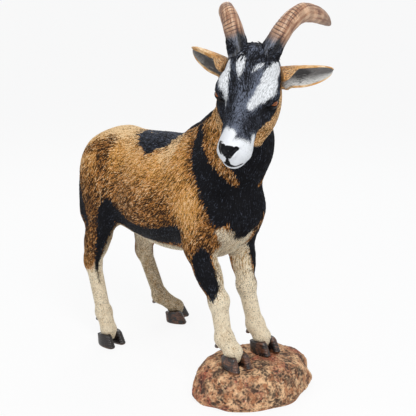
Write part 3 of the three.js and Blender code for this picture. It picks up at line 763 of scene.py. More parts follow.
class Shader:
    """Short ways to place and join the nodes of one tree."""

    def __init__(self, tree):
        self.tree = tree

    def node(self, kind, values=None, **settings):
        node = self.tree.nodes.new(kind)
        for key, value in settings.items():
            setattr(node, key, value)
        for key, value in (values or {}).items():
            self.put(node.inputs[key], value)
        return node

    def put(self, socket, value):
        if isinstance(value, Wire):
            self.tree.links.new(value.socket, socket)
        else:
            socket.default_value = value

    def out(self, node, key=0):
        return Wire(self, node.outputs[key])

    def read(self, name, kind="Fac"):
        return self.out(self.node("ShaderNodeAttribute", attribute_name=name), kind)

    def place(self):
        return self.out(self.node("ShaderNodeTexCoord"), "Object")

    def noise(self, vector, scale, detail, rough=0.55):
        return self.out(self.node("ShaderNodeTexNoise", {"Vector": vector, "Scale": scale,
                                                         "Detail": detail, "Roughness": rough}), "Fac")

    def math(self, operation, a, b=0.0):
        return self.out(self.node("ShaderNodeMath", {0: a, 1: b}, operation=operation))

    def larger(self, a, b):
        return self.math("MAXIMUM", a, b)

    def span(self, value, low, high, to_low=0.0, to_high=1.0):
        """A smooth rise or fall from `to_low` to `to_high` while the value goes from low to high."""
        return self.out(self.node("ShaderNodeMapRange", {
            "Value": value, "From Min": low, "From Max": high, "To Min": to_low, "To Max": to_high},
            interpolation_type="SMOOTHSTEP"), "Result")

    def mix(self, share, a, b):
        return self.out(self.node("ShaderNodeMix", {0: share, 6: a, 7: b}, data_type="RGBA"), 2)

    def over(self, paint, *coats):
        """Paint with coats laid over it in turn; each is how much it covers, and its colour."""
        for share, coat in coats:
            paint = self.mix(share, paint, coat)
        return paint


def new_finish(name, painter, relief, sheen=None):
    """A material from its painter, which gives the colour, the roughness and the height of fine relief.

    `relief` is that relief's strength and its depth in metres."""
    material = bpy.data.materials.new(name)
    material.use_nodes = True
    material.node_tree.nodes.clear()
    s = Shader(material.node_tree)
    paint, roughness, height = painter(s)
    bump = s.node("ShaderNodeBump", {"Height": height, "Strength": relief[0], "Distance": relief[1]})
    surface = s.node("ShaderNodeBsdfPrincipled", {
        "Base Color": paint, "Roughness": roughness, "Normal": s.out(bump), **(sheen or {})})
    s.node("ShaderNodeOutputMaterial", {"Surface": s.out(surface)})
    return material


PAINTS = ("black", "cream", "white", "leather", "wash", "dry")
PAINT_ABSENT = -3.0
OCHRE = colour(222, 161, 82)
OCHRE_DEEP = colour(187, 124, 62)
OCHRE_PALE = colour(252, 222, 176)
DARK_WASH = colour(30, 20, 15)
BLACK_PAINT = colour(13, 13, 17)
BLACK_DRY = colour(114, 121, 138)
CREAM_PAINT = colour(240, 226, 199)
CREAM_SHADE = colour(170, 134, 84)
WHITE_PAINT = colour(229, 231, 234)
# The white's hollows: partly painted shade in the carved strokes, partly fine grey hair lines.
WHITE_SHADE = colour(168, 170, 172)
LEATHER_SHEEN = colour(58, 58, 64)


def coat_paint_group():
    """The painter's work: ochre first, a dark wash in the hollows that also carries a painted shade low on
    the trunk, then each marking in its own paint.
    """
    group = bpy.data.node_groups.new("Coat Paint", "ShaderNodeTree")
    inputs = {**{paint: PAINT_ABSENT for paint in PAINTS}, "tone": 0.0, "crest": 0.5, "ragged": 0.5}
    for label, value in inputs.items():
        socket = group.interface.new_socket(label, in_out="INPUT", socket_type="NodeSocketFloat")
        socket.default_value = value
    for label, kind in (("Color", "Color"), ("Roughness", "Float"), ("Height", "Float")):
        group.interface.new_socket(label, in_out="OUTPUT", socket_type="NodeSocket" + kind)
    s = Shader(group)
    given = s.node("NodeGroupInput")
    reach = {label: s.out(given, label) for label in inputs}
    wash, dry, tone, crest = (reach[label] for label in ("wash", "dry", "tone", "crest"))
    spot = s.place()
    fine, medium, broad = s.noise(spot, 300, 4), s.noise(spot, 75, 4), s.noise(spot, 11, 3)
    edge = (medium + fine * 0.6 - 0.8) * reach["ragged"] + (tone - 0.5) * 0.5

    def covered(marking, soft, loose=1.0):
        """1 under a marking's paint and 0 outside it, with a brushed edge between."""
        return s.span(reach[marking] + edge * loose, -soft, soft)

    relief = crest + (fine - 0.5) * 1.9
    # The wash amount brings the painted shade of the lower trunk into the stain, the depth and the tint.
    stain_and_shade = wash + (broad - 0.5) * 0.9
    depth = relief - (stain_and_shade + (tone - 0.5) * (wash * 1.7 + 0.5)) * 0.85
    tint = tone * 0.5 + broad * 0.9 - stain_and_shade * 0.5
    fleck = s.noise(spot, 290, 3, 0.65) + wash * 0.16
    # Pale dry brushing on the crests, paler still on the top of the back as a painted sheen; dark wash in the
    # hollows, deepened low on the trunk as painted shade.
    ochre = s.over(s.mix(s.span(tint, 0.2, 0.75), OCHRE_DEEP, OCHRE),
                   (s.span(depth + (dry - 0.1) * 1.1, 0.56, 1.05, 0.0, 0.85), OCHRE_PALE),
                   (s.span(depth, 0.03, 0.45, 0.96, 0.0), DARK_WASH),
                   (s.span(fleck, 0.63, 0.72, 0.0, 0.85), DARK_WASH))

    # The wash, painted shade included, darkens and specks the cream.
    grime_and_shade = wash - 0.4
    near_edge = s.span(s.larger(reach["black"], reach["cream"] * -1.0), -1.6, 0.0, 0.0, 0.06)
    speck = s.noise(spot, 380, 2) + (broad * 0.2 + grime_and_shade * 0.2 + near_edge)
    cream = s.over(s.mix(s.span(crest + medium * 0.9 - grime_and_shade, 0.3, 0.95), CREAM_SHADE, CREAM_PAINT),
                   (s.span(speck, 0.67, 0.76) * 0.7, DARK_WASH))
    brushed = relief + medium + dry + tone * 0.4
    black = s.mix(s.span(brushed, 1.58, 2.75) * 0.82, BLACK_PAINT, BLACK_DRY)
    # The white turns to its painted shade in the hollows of the strokes and where there is wash.
    white = s.mix(s.span(relief + tone * 0.2 - wash, -0.25, 0.5), WHITE_SHADE, WHITE_PAINT)
    leather = s.mix(s.span(relief, 0.9, 1.7), BLACK_PAINT, LEATHER_SHEEN)
    on_leather = covered("leather", 0.08, 0.15)
    s.node("NodeGroupOutput", {
        "Color": s.over(ochre, (covered("cream", 0.25), cream), (covered("black", 0.1), black),
                        (covered("white", 0.3, 0.7), white), (on_leather, leather)),
        "Roughness": s.span(fine, 0.3, 0.7, 0.5, 0.66) - on_leather * 0.22,
        "Height": fine + medium * 1.5})
    return group


COAT_PAINT = coat_paint_group()


def coat_finish(name, ragged, depth):
    def painter(s):
        values = {paint: s.read("paint_" + paint) for paint in PAINTS}
        values.update(tone=s.read("tone"), crest=s.read("crest"), ragged=ragged)
        paint = s.node("ShaderNodeGroup", values, node_tree=COAT_PAINT)
        return s.out(paint, "Color"), s.out(paint, "Roughness"), s.out(paint, "Height")
    return new_finish(name, painter, (0.5, depth), {"Specular IOR Level": 0.09})


SKIN_FINISH = coat_finish("painted_skin", 1.0, 0.0006)
COAT_FINISH = coat_finish("painted_coat", 0.35, 0.0003)


# ---------------------------------------------------------------- the skin
FLESH_NODES = ["trunk", "neck", "head", "tail"] + [
    f"{part}_{side}" for part in ("thigh", "hind_cannon", "forearm", "fore_cannon") for side in SIDES]
SKIN_CREST = 0.3  # the bare skin is painted as the slope between a lock's root and its crest


def build_skin():
    """One net over the whole goat, drawn finer on the head and finest round eyes, nose and mouth."""
    cell, block = ((4.4, 4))
    points, faces = net_over(skin_field, vec(-405, -270, 2), vec(430, 210, 905), cell, block)
    points = settle(skin_field, points, 2, cell)

    def on_head(points, from_x):
        q = to_head(points)
        return (skull_form(q) < 14) & (q[:, 0] > from_x)

    points, faces = subdivided(points, faces, on_head(points, -30))
    q = to_head(points)
    finest = np.zeros(len(points), bool)
    for spot, reach in ((vec(100, -58, -36), 30), (vec(100, 58, -36), 30), (vec(236, 0, -24), 34)):
        finest |= lengths(q - spot) < reach
    points, faces = subdivided(points, faces, finest)
    head = on_head(points, -40)
    points[head] = settle(skin_field, points[head], 3, 3.0)
    attributes = dict(markings(points), tone=np.zeros(len(points)), crest=np.full(len(points), SKIN_CREST))
    return new_piece("goat_skin", points, faces, SKIN_FINISH, FLESH_NODES, attributes)


skin = build_skin()


# ---------------------------------------------------------------- tubes and rings
def smooth_line(knots, count):
    """Evenly spaced points on a smooth curve through the knots, and the way it runs at each."""
    knots = np.array(knots, float)
    ends = np.vstack([2 * knots[0] - knots[1], knots, 2 * knots[-1] - knots[-2]])
    gaps = np.sqrt(lengths(np.diff(ends, axis=0)))
    t = np.linspace(0, 1, 60, endpoint=False)[:, None]
    pieces = []
    for i in range(1, len(ends) - 2):
        a, b, c, d = ends[i - 1:i + 3]
        before, here, after = gaps[i - 1:i + 2]
        leave = ((b - a) / before - (c - a) / (before + here) + (c - b) / here) * here
        arrive = ((c - b) / here - (d - b) / (here + after) + (d - c) / after) * here
        pieces.append(b + leave * t + (3 * (c - b) - 2 * leave - arrive) * t ** 2
                      + (2 * (b - c) + leave + arrive) * t ** 3)
    line = np.vstack(pieces + [knots[-1:]])
    travelled = np.concatenate([[0], np.cumsum(lengths(np.diff(line, axis=0)))])
    wanted = np.linspace(0, travelled[-1], count)
    points = np.stack([np.interp(wanted, travelled, line[:, a]) for a in range(3)], 1)
    return points, units(np.gradient(points, axis=0))


def closed_rings(rings):
    """Points and faces of a closed skin over rings shaped (ring, side, xyz), with a pole at each end."""
    count, sides = rings.shape[:2]
    points = np.vstack([rings.reshape(-1, 3), rings[0].mean(0), rings[-1].mean(0)])
    r, i = np.meshgrid(np.arange(count - 1), np.arange(sides), indexing="ij")
    j = (i + 1) % sides
    faces = np.stack([r * sides + i, r * sides + j, (r + 1) * sides + j, (r + 1) * sides + i], -1)
    faces = [tuple(face) for face in faces.reshape(-1, 4).tolist()]
    last_ring, first_pole = (count - 1) * sides, count * sides
    for i in range(sides):
        j = (i + 1) % sides
        faces += [(first_pole, j, i), (first_pole + 1, last_ring + i, last_ring + j)]
    return points, faces


def with_poles(values, first, last):
    """A value for each point of closed rings: the rings' own, then those of the two poles."""
    return np.append(values.ravel(), (first, last))


def round_turn(sides):
    return np.linspace(0, 2 * math.pi, sides, endpoint=False)


def ripple(points, size, seed):
    """Smooth noise from -1 to 1 with features of about `size` millimetres."""
    return np.array([noise.noise(Vector(p)) for p in points / size + seed])


# ---------------------------------------------------------------- horns
HORN_PATH = np.array([[18, 27, -30], [-24, 41, -16], [-66, 61, -8], [-101, 84, -20], [-127, 105, -58],
                      [-148, 120, -108], [-164, 128, -158]], float)
HORN_RADIUS, HORN_FLATNESS = 27.0, 0.84
HORN_SHARES = {-1: (0.8, (1.24, 0.96, 0.72)), 1: (1.0, (0.9, 0.88, 0.98))}  # rise, and lean on the way up
HORN_RIDGES, HORN_SWELLS = 40, 9
THINNER_RIGHT_HORN = 0.13


def horn_line(side, count):
    rise, leans = HORN_SHARES[side]
    share = np.linspace(0, 2, len(HORN_PATH))
    lean = np.interp(share, (0, 1, 2), leans)
    local = HORN_PATH * np.stack([np.full(len(lean), rise), side * lean, np.ones(len(lean))], 1)
    return smooth_line(POLL + local @ HEAD_AXES, count)


def horn_axes(along):
    wide = units(np.cross(HEAD_LEFT, along))
    return wide, np.cross(along, wide)


def horn_taper(t):
    return HORN_RADIUS * (1 - 0.52 * t ** 1.2)


def horn_paint(s):
    """Brown in streaks, dark in the grooves and towards the tip, and black round the root."""
    along, groove, swell = s.read("along"), s.read("groove"), s.read("crest")
    spot = s.place()
    grain, patch = s.noise(spot, 330, 5), s.noise(spot, 42, 4)
    streak = s.noise(s.read("run", "Vector"), 3.2, 6, 0.65)
    reach = along + streak * 0.16
    root = s.mix(s.span(streak + grain * 0.4, 0.66, 0.92, 0, 0.7), BLACK_PAINT, BLACK_DRY)
    paint = s.over(s.mix(s.span(patch, 0.35, 0.65), colour(156, 108, 76), colour(192, 144, 110)),
                   (s.span(streak + grain * 0.3, 0.6, 0.74) * 0.6, colour(228, 196, 164)),
                   (s.span(streak + patch * 0.3, 0.52, 0.66, 1, 0) * 0.75, colour(96, 58, 40)),
                   (s.span(swell, 0.2, 0.8, 1, 0) * 0.35, colour(104, 62, 44)),
                   (s.span(groove + grain * 0.5, 0.5, 0.85) * 0.9, colour(50, 30, 24)),
                   (s.span(along, 0.62, 0.85) * 0.7, colour(112, 74, 50)),
                   (s.span(reach, 0.19, 0.4, 1, 0) * 0.6, colour(84, 54, 46)),
                   (s.span(reach, 0.22, 0.29, 1, 0), root))
    return paint, s.span(grain, 0.3, 0.7, 0.4, 0.6), grain + patch + streak * 2.0


HORN_FINISH = new_finish("painted_horn", horn_paint, (0.5, 0.0008))


def build_horn(name, side):
    rings, sides = ((230, 56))
    at, along = horn_line(side, rings)
    wide, flat = horn_axes(along)
    t = np.linspace(0, 1, rings)
    radius = horn_taper(t) * np.sqrt(1 - 0.86 * np.maximum(0, (t - 0.7) / 0.3) ** 2)
    if side < 0:
        radius = radius * (1 - THINNER_RIGHT_HORN * smooth_step(0.25, 0.6, t))
    radius, t = radius[:, None], t[:, None]
    angle = round_turn(sides)[None, :]
    front = smooth_step(-0.35, 0.8, np.cos(angle + 0.5))
    fade = smooth_step(0.12, 0.2, t) * (1 - smooth_step(0.62, 0.9, t))
    phase = HORN_RIDGES * t ** 1.05 + 0.16 * np.sin(2 * angle + 9 * t)
    cut = np.exp(-((phase % 1 - 0.5) / 0.13) ** 2)
    cut *= fade * (0.12 + 0.88 * front) * (0.8 + 0.2 * np.sin(7.3 * np.floor(phase) + 2 * angle))
    swell = 0.5 + 0.5 * np.cos(2 * math.pi * HORN_SWELLS * t ** 1.05) + 0 * angle
    keel = 1 + 0.035 * np.exp(-((angle + 0.25 * side + math.pi) % (2 * math.pi) - math.pi) ** 2 / 0.12)
    shell = (radius * keel * (1 - 0.045 * cut + 0.02 * (swell - 0.6)))[:, :, None]
    outline = (wide[:, None, :] * np.cos(angle)[..., None]
               + flat[:, None, :] * np.sin(angle)[..., None] * HORN_FLATNESS)
    points, faces = closed_rings(at[:, None, :] + outline * shell)
    run = np.stack(np.broadcast_arrays(np.cos(angle), np.sin(angle), 1.3 * t), -1)
    run = np.append(run.reshape(-1, 3), np.zeros((2, 3)), axis=0)
    attributes = dict(along=with_poles(t + 0 * angle, 0, 1), run=run, crest=with_poles(swell, 0.7, 0.7),
                      groove=with_poles(cut, 0, 0))
    return new_piece(f"{name}_carved", points, faces, HORN_FINISH, [name], attributes)


# ---------------------------------------------------------------- ears
EAR_LENGTH, EAR_WIDTH, EAR_THICKNESS = 138.0, 54.0, 5.0


def ear_axes(side):
    """The ear's root, the way it runs, the way its cup opens and the way across it."""
    along = unit(vec(-0.36, side * 0.8, -0.42)) @ HEAD_AXES
    opening = vec(0.79, side * 0.5, 0.3) @ HEAD_AXES
    opening = unit(opening - along * (opening @ along))
    return in_head(20, side * 44, -58), along, opening, np.cross(opening, along)


def ear_paint(s):
    """Streaked ochre outside and round the rim, and inside a grey lining with a dark hollow.

    `folded` is 1 on the right ear, where the outside's ochre is painted over the upper part of the lining, as
    on an ear whose upper edge turns over."""
    inner, share, along, folded = (s.read(name) for name in ("inner", "share", "along", "folded"))
    run = s.out(s.node("ShaderNodeCombineXYZ", {"X": along * 5.0, "Y": share * 8.0, "Z": inner}))
    streaks, strands = s.noise(run, 1.6, 5, 0.65), s.noise(run, 4.5, 3, 0.6)
    blotch, fine = s.noise(s.place(), 48, 4), s.noise(s.place(), 420, 3)
    base = s.span(along, 0.05, 0.45, 0.12, 0.0)
    outside = s.over(s.mix(s.span(blotch, 0.35, 0.66), OCHRE, OCHRE_PALE),
                     (s.span(streaks + base, 0.5, 0.66) * 0.7, OCHRE_DEEP),
                     (s.span(strands + base, 0.56, 0.66) * 0.8, DARK_WASH))
    mixed = strands * 0.9 + blotch * 0.7
    pale = s.larger(s.span(mixed * 0.5 - share, 0.55, 1.1) - folded * 0.75, 0.0)
    from_hollow = (abs(along - 0.42) * 1.5 + abs(share + 0.1) * 0.5) * (1.0 - folded * 0.6)
    lining = s.over(s.mix(pale, colour(128, 125, 123), colour(226, 225, 221)),
                    (s.span(mixed - from_hollow, 0.36, 0.64) * 0.88, colour(36, 34, 36)),
                    (s.span(strands, 0.5, 0.62) * 0.6, colour(70, 67, 68)),
                    (s.span(streaks, 0.42, 0.3) * 0.5, colour(214, 212, 208)))
    rim = s.span(abs(share) + fine * 0.1, 0.88, 0.97)
    rim = s.larger(rim, s.span(along + streaks * 0.12 - share * 0.1, 0.2, 0.3, 1.0, 0.0))
    turned_edge = streaks * 0.3 + (share - along * 0.25)
    rim = s.larger(rim, folded * s.span(turned_edge, -0.12, 0.0))
    paint = s.mix(s.span(inner, 0.3, 0.7) * (1.0 - rim), outside, lining)
    return paint, s.span(fine, 0.3, 0.7, 0.5, 0.68), (streaks + strands) * 1.4 + fine


EAR_FINISH = new_finish("painted_ear", ear_paint, (0.8, 0.0012))


def build_ear(name, side):
    rings, sides = ((110, 90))
    root, along, opening, across = ear_axes(side)
    t = np.linspace(0, 1, rings)[:, None]
    taper = np.sqrt(np.maximum(0.003, 1 - np.maximum(0, (t - 0.45) / 0.55) ** 1.9))
    width = EAR_WIDTH / 2 * (0.8 + 0.2 * smooth_step(0, 0.3, t)) * taper
    curl = 2.8 - 1.35 * smooth_step(0.0, 0.3, t) - 0.3 * smooth_step(0.3, 1, t)
    radius = width / np.sin(np.minimum(curl, math.pi / 2))
    turn = round_turn(sides)[None, :]
    share = np.sign(np.cos(turn)) * np.abs(np.cos(turn)) ** 0.55
    through = np.sign(np.sin(turn)) * np.abs(np.sin(turn)) ** 0.7
    angle = share * curl
    thick = through * EAR_THICKNESS / 2 * (1 - 0.3 * np.abs(share) ** 3) * np.minimum(1, 0.25 + 2 * taper)
    folds = 0.8 * np.cos(share * 11 + 2 * t) * (through < 0) * smooth_step(0, 0.3, t) * (1 - t)
    thick = thick - folds * (1 - share ** 4)
    wave = 1.6 * np.sin(5 * t + share * 2) * t
    points, faces = closed_rings(
        root + along * (t * EAR_LENGTH)[..., None] + across * (np.sin(angle) * (radius + thick))[..., None]
        + opening * ((1 - np.cos(angle)) * radius - np.cos(angle) * thick + wave * 0.4)[..., None])
    attributes = dict(inner=with_poles((through < 0) + 0 * t, 0, 0),
                      share=with_poles(side * share + 0 * t, 0, 0), along=with_poles(t + 0 * share, 0, 1),
                      folded=np.full(len(points), float(side < 0)))
    return new_piece(f"{name}_carved", points, faces, EAR_FINISH, [name], attributes)


# ---------------------------------------------------------------- eyes
def eye_paint(s):
    """Amber, darker towards its rim, with a slot for a pupil; `out` grows from the middle to the rim."""
    out, across = s.read("out"), s.read("across")
    radial = s.noise(s.out(s.node("ShaderNodeCombineXYZ", {"X": out * 0.6, "Y": across})), 9, 4)
    paint = s.over(s.mix(s.span(out + radial * 0.2, 0.35, 0.95), colour(158, 82, 18), colour(66, 33, 10)),
                   (s.span(out * 0.55 + abs(across), 0.17, 0.25, 1, 0), colour(16, 10, 8)),
                   (s.span(out, 0.92, 1.0), colour(20, 16, 15)))
    return paint, 0.2, radial


EYE_FINISH = new_finish("painted_eye", eye_paint, (0.15, 0.0004), {
    "Specular IOR Level": 0.3, "Coat Weight": 0.25, "Coat Roughness": 0.03})
IRIS_REACH = 0.95  # the angle from the eye's axis to the iris's rim


def build_eye(name, side):
    """A ball with its iris painted where it looks."""
    rings, sides = 40, 48
    look = unit(vec(0.5, side * 0.69, 0.52)) @ HEAD_AXES
    slit = eye_frame(side)[0] @ HEAD_AXES
    slit = unit(slit - look * (slit @ look))
    up = np.cross(look, slit)
    polar = np.linspace(0.03, math.pi - 0.03, rings)[:, None]
    turn = round_turn(sides)[None, :]
    ball = (look * np.cos(polar)[..., None] + slit * (np.sin(polar) * np.cos(turn))[..., None]
            + up * (np.sin(polar) * np.sin(turn))[..., None])
    points, faces = closed_rings(eye_centre(side) + EYE_RADIUS * ball)
    off = (points - eye_centre(side)) / EYE_RADIUS
    away = np.arccos(np.clip(off @ look, -1, 1)) / IRIS_REACH
    return new_piece(f"{name}_glazed", points, faces, EYE_FINISH, [name],
                     dict(out=away, across=off @ up * side * 2.2))


# ---------------------------------------------------------------- claws and dewclaws
def hoof_paint(s):
    """Worn brown that shows its growth, and black brushed over it."""
    spot = s.place()
    grain = s.noise(s.out(s.node("ShaderNodeMapping", {"Vector": spot, "Scale": (60, 60, 420)})), 1, 4)
    patch, fine = s.noise(spot, 70, 4), s.noise(spot, 500, 2)
    soot = s.span(patch + s.read("sooty") * 0.24, 0.46, 0.58, 0.0, 0.94)
    worn = s.span(s.read("along") + patch * 0.2, 0.12, 0.26, 1, 0) * 0.3
    paint = s.over(s.mix(s.span(grain, 0.42, 0.72), colour(70, 44, 33), colour(128, 84, 58)),
                   (soot, colour(15, 13, 14)), (worn, colour(150, 104, 66)))
    return paint, s.span(fine, 0.3, 0.7, 0.2, 0.36), grain * 2 + patch


HOOF_FINISH = new_finish("painted_hoof", hoof_paint, (0.5, 0.0008))


def new_hoof(name, points, along, pose):
    """A claw or a dewclaw; the right hind foot's are nearly all black, and the others mostly brown."""
    points, faces = closed_rings(points)
    soot = 1.0 if pose is HIND[-1] else 0.1
    return new_piece(f"{name}_carved", points, faces, HOOF_FINISH, [name],
                     dict(along=along, sooty=np.full(len(points), soot)))


def turned(points, degrees):
    """Points turned about the vertical."""
    c, s = math.cos(math.radians(degrees)), math.sin(math.radians(degrees))
    return points @ np.array([[c, s, 0], [-s, c, 0], [0, 0, 1]])


def build_claw(name, pose, side):
    rings, sides = ((44, 72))
    level = np.linspace(0, 1, rings)[:, None]
    size = np.interp(level, (0, 0.03, 0.14, 0.9, 1), (0.9, 0.96, 1, 0.84, 0.72))
    size = size * (1 + 0.012 * np.cos(level * 38) * (level > 0.15))
    lean = np.interp(level, (0, 0.14, 0.9, 1), (0, 0, -8, -9))
    turn = round_turn(sides)[None, :]
    c, s = np.cos(turn), np.sin(turn)
    x = np.sign(c) * np.abs(c) ** 0.8 * CLAW_LENGTH / 2 * size
    half = CLAW_WIDTH / 2 * size
    toe = np.maximum(0, x / CLAW_LENGTH)
    outer = np.abs(s) ** 0.8 * half * (1 - 0.5 * toe)
    inner = -(np.abs(s) ** 0.5) * half * (1 - 0.2 * toe)
    y = np.where(s > 0, outer, inner)
    heel_drop = smooth_step(0.8, 0.95, level) * np.maximum(0, -x) * 0.32
    flat = np.stack([x + lean + 4 + CLAW_LENGTH / 2, side * (y + CLAW_WIDTH / 2 + CLEFT / 2),
                     CLAW_HEIGHT * level - heel_drop], -1)
    points = turned(flat, side * pose["spread"]) - vec(CLAW_LENGTH / 2, 0, 0)
    points = turned(points, pose["yaw"]) + pose["foot"]
    if side < 0:
        points = points[:, ::-1]
    return new_hoof(name, points, with_poles(level + 0 * c, 0, 1), pose)


def build_dewclaw(name, pose, side):
    rings, sides = 20, 24
    root = pose["fetlock"] + vec(-8, side * 9, -15)
    tip = root + vec(-9, side * 1, -8)
    along = unit(tip - root)
    left = unit(np.cross(vec(1, 0, 0), along))
    top = np.cross(along, left)
    t = np.linspace(0, 1, rings)
    reach = -2 + t * (lengths((tip - root)[None])[0] + 6.4)
    radius = 8 * (1 - 0.42 * t) * np.sqrt(np.maximum(0.004, 1 - np.maximum(0, (t - 0.55) / 0.45) ** 2.2))
    turn = round_turn(sides)
    ring = left * np.cos(turn)[:, None] + top * np.sin(turn)[:, None]
    points = root + along * reach[:, None, None] + ring[None] * radius[:, None, None]
    return new_hoof(name, points, with_poles(np.repeat(1 - t, sides), 1, 0.1), pose)


# ---------------------------------------------------------------- the rock
ROCK_CENTRE = vec(236, 28, 0)
ROCK_RADII = (166.0, 121.5)
ROCK_TURN = 91.0
ROCK_SLOPE = 0.157
ROCK_SQUARENESS = 1.86
ROCK_PROFILE = np.array([[0.96, 0], [1.02, 0.13], [0.98, 0.38], [0.91, 0.64], [0.8, 0.85], [0.58, 0.97],
                         [0.27, 1], [0.02, 1]])


def rock_paint(s):
    """Sand and red stone in patches, with pale grains and dark pits."""
    spot = s.place()
    broad, medium, grain = s.noise(spot, 14, 4), s.noise(spot, 60, 5), s.noise(spot, 210, 3)
    sand = s.mix(s.span(medium, 0.36, 0.62), colour(172, 114, 76), colour(240, 196, 150))
    red = s.mix(s.span(grain, 0.4, 0.62), colour(136, 66, 46), colour(196, 108, 78))
    stone = s.over(sand, (s.span(broad + medium * 0.5, 0.76, 0.9), red),
                   (s.span(grain, 0.62, 0.7), colour(238, 212, 178)),
                   (s.span(s.noise(spot, 190, 4, 0.7), 0.56, 0.62) * 0.9, colour(34, 24, 22)),
                   (s.span(s.read("crest"), 0.12, 0.5, 0.9, 0.0), colour(30, 20, 18)))
    return stone, s.span(grain, 0.3, 0.7, 0.72, 0.92), grain + medium * 2


ROCK_FINISH = new_finish("painted_rock", rock_paint, (0.7, 0.0015))


def build_rock():
    rings, sides = ((130, 380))
    steps = np.concatenate([[0], np.cumsum(np.hypot(*(np.diff(ROCK_PROFILE * (140, 80), axis=0).T)))])
    t = np.linspace(0, steps[-1], rings)
    ring_number, size, rise = (np.interp(t, steps, column)[:, None] for column in (
        np.arange(len(steps)), ROCK_PROFILE[:, 0], ROCK_PROFILE[:, 1]))
    a = round_turn(sides)[None, :]
    lump = (1 + 0.03 * np.sin(3 * a + 0.7) + 0.02 * np.sin(7 * a + ring_number * 0.9)
            + 0.012 * np.sin(11 * a + 2 * ring_number))
    squared = (np.abs(np.cos(a)) ** ROCK_SQUARENESS + np.abs(np.sin(a)) ** ROCK_SQUARENESS) ** (
        -1 / ROCK_SQUARENESS)
    r = size * lump * squared
    z = rise * (ROCK_HEIGHT + 3) * (1 - ROCK_SLOPE * np.cos(a) * size)
    flat = np.stack([ROCK_RADII[0] * np.cos(a) * r, ROCK_RADII[1] * np.sin(a) * r, z], -1)
    grid = turned(flat, ROCK_TURN) + ROCK_CENTRE
    points = grid.reshape(-1, 3)
    up = np.gradient(grid, axis=0)
    round_it = np.roll(grid, -1, axis=1) - np.roll(grid, 1, axis=1)
    normals = units(np.cross(round_it.reshape(-1, 3), up.reshape(-1, 3)))
    lumps, grains, crumbs = (ripple(points, size, seed) for size, seed in ((26, 3.1), (8.5, 7.7), (3.6, 1.3)))
    depth = 1.6 * lumps - 2.4 * np.abs(grains) + 0.9 * crumbs - 0.2
    depth *= np.clip(points[:, 2] / 5, 0, 1)
    points = points + normals * depth[:, None]
    points, faces = closed_rings(points.reshape(rings, sides, 3))
    return new_piece("rock_carved", points, faces, ROCK_FINISH, ["rock"],
                     dict(crest=with_poles(np.clip(0.5 + depth / 5, 0, 1), 0.5, 0.5)))


for side_name, side_sign in SIDES.items():
    build_horn(f"horn_{side_name}", side_sign)
    build_ear(f"ear_{side_name}", side_sign)
    build_eye(f"eye_{side_name}", side_sign)
    for which, poses in (("hind", HIND), ("fore", FORE)):
        for toe_side in (-1, 1):
            label = f"{which}_{side_name}_{'outer' if toe_side == side_sign else 'inner'}"
            build_claw(f"claw_{label}", poses[side_sign], toe_side)
            build_dewclaw(f"dewclaw_{label}", poses[side_sign], toe_side)
build_rock()


# ---------------------------------------------------------------- the carved coat
def wander(points, size, seed):
    """Smooth and even drift from about -1 to 1, with features of about `size` millimetres."""
    rng = np.random.default_rng(seed)
    waves = rng.normal(size=(5, 3)) / size * 2.4
    return np.sin(points @ waves.T + rng.uniform(0, 6.28, 5)).sum(1) / 2.6


BARE_ROUND_EYE = 4.5
# A lock is a ridge of five stations from root to tip: left edge, crest and right edge at each but the last.
LOCK_SHARE = np.array([0.0, 0.28, 0.6, 0.86, 1.0])
LOCK_CREST = np.array([-0.5, 0.75, 1.0, 0.7, 0.05])
LOCK_WIDTH = np.array([0.5, 0.95, 1.0, 0.6, 0.0])
LOCK_TONE = np.array([0.35, 0.8, 1.0, 0.95, 0.8])
LOCK_KNOTS = 13
LOCK_PATCH = 0.003  # the side of a lock's patch on the map


def lock_net():
    """The corners of one lock's faces in turn, and where each face starts among them."""
    faces = []
    for left in (0, 3, 6):
        faces += [(left, left + 1, left + 4, left + 3), (left + 1, left + 2, left + 5, left + 4)]
    faces += [(9, 10, 12), (10, 11, 12)]
    return np.concatenate(faces), np.cumsum([0] + [len(face) for face in faces[:-1]])


LOCK_CORNERS, LOCK_STARTS = lock_net()


def for_each_lock(pattern, count, step):
    return (pattern + step * np.arange(count)[:, None]).ravel().astype(np.int32)


def lock_points(roots, normals, ways, size, lift, over):
    """Rows of locks; `size` is length, half width and height, and `over` the field that they follow."""
    length, half, height = (column[:, None, None] for column in size.T)
    across, up = np.cross(normals, ways)[:, None, :], normals[:, None, :]
    share = LOCK_SHARE[None, :, None]
    middle = roots[:, None, :] + ways[:, None, :] * share * length
    if over is not None:
        middle = middle - up * np.clip(over(middle.reshape(-1, 3)), -6, 6).reshape(len(roots), -1, 1)
    middle = middle + up * lift[:, None, None] * share ** 1.6 * length
    crest = middle + up * LOCK_CREST[None, :, None] * height
    out = across * LOCK_WIDTH[None, :, None] * half
    edge = middle - up * 0.45 * height
    rows = np.stack([edge + out, crest, edge - out], 2)[:, :4].reshape(len(roots), LOCK_KNOTS - 1, 3)
    return np.concatenate([rows, crest[:, 4:]], 1).reshape(-1, 3)


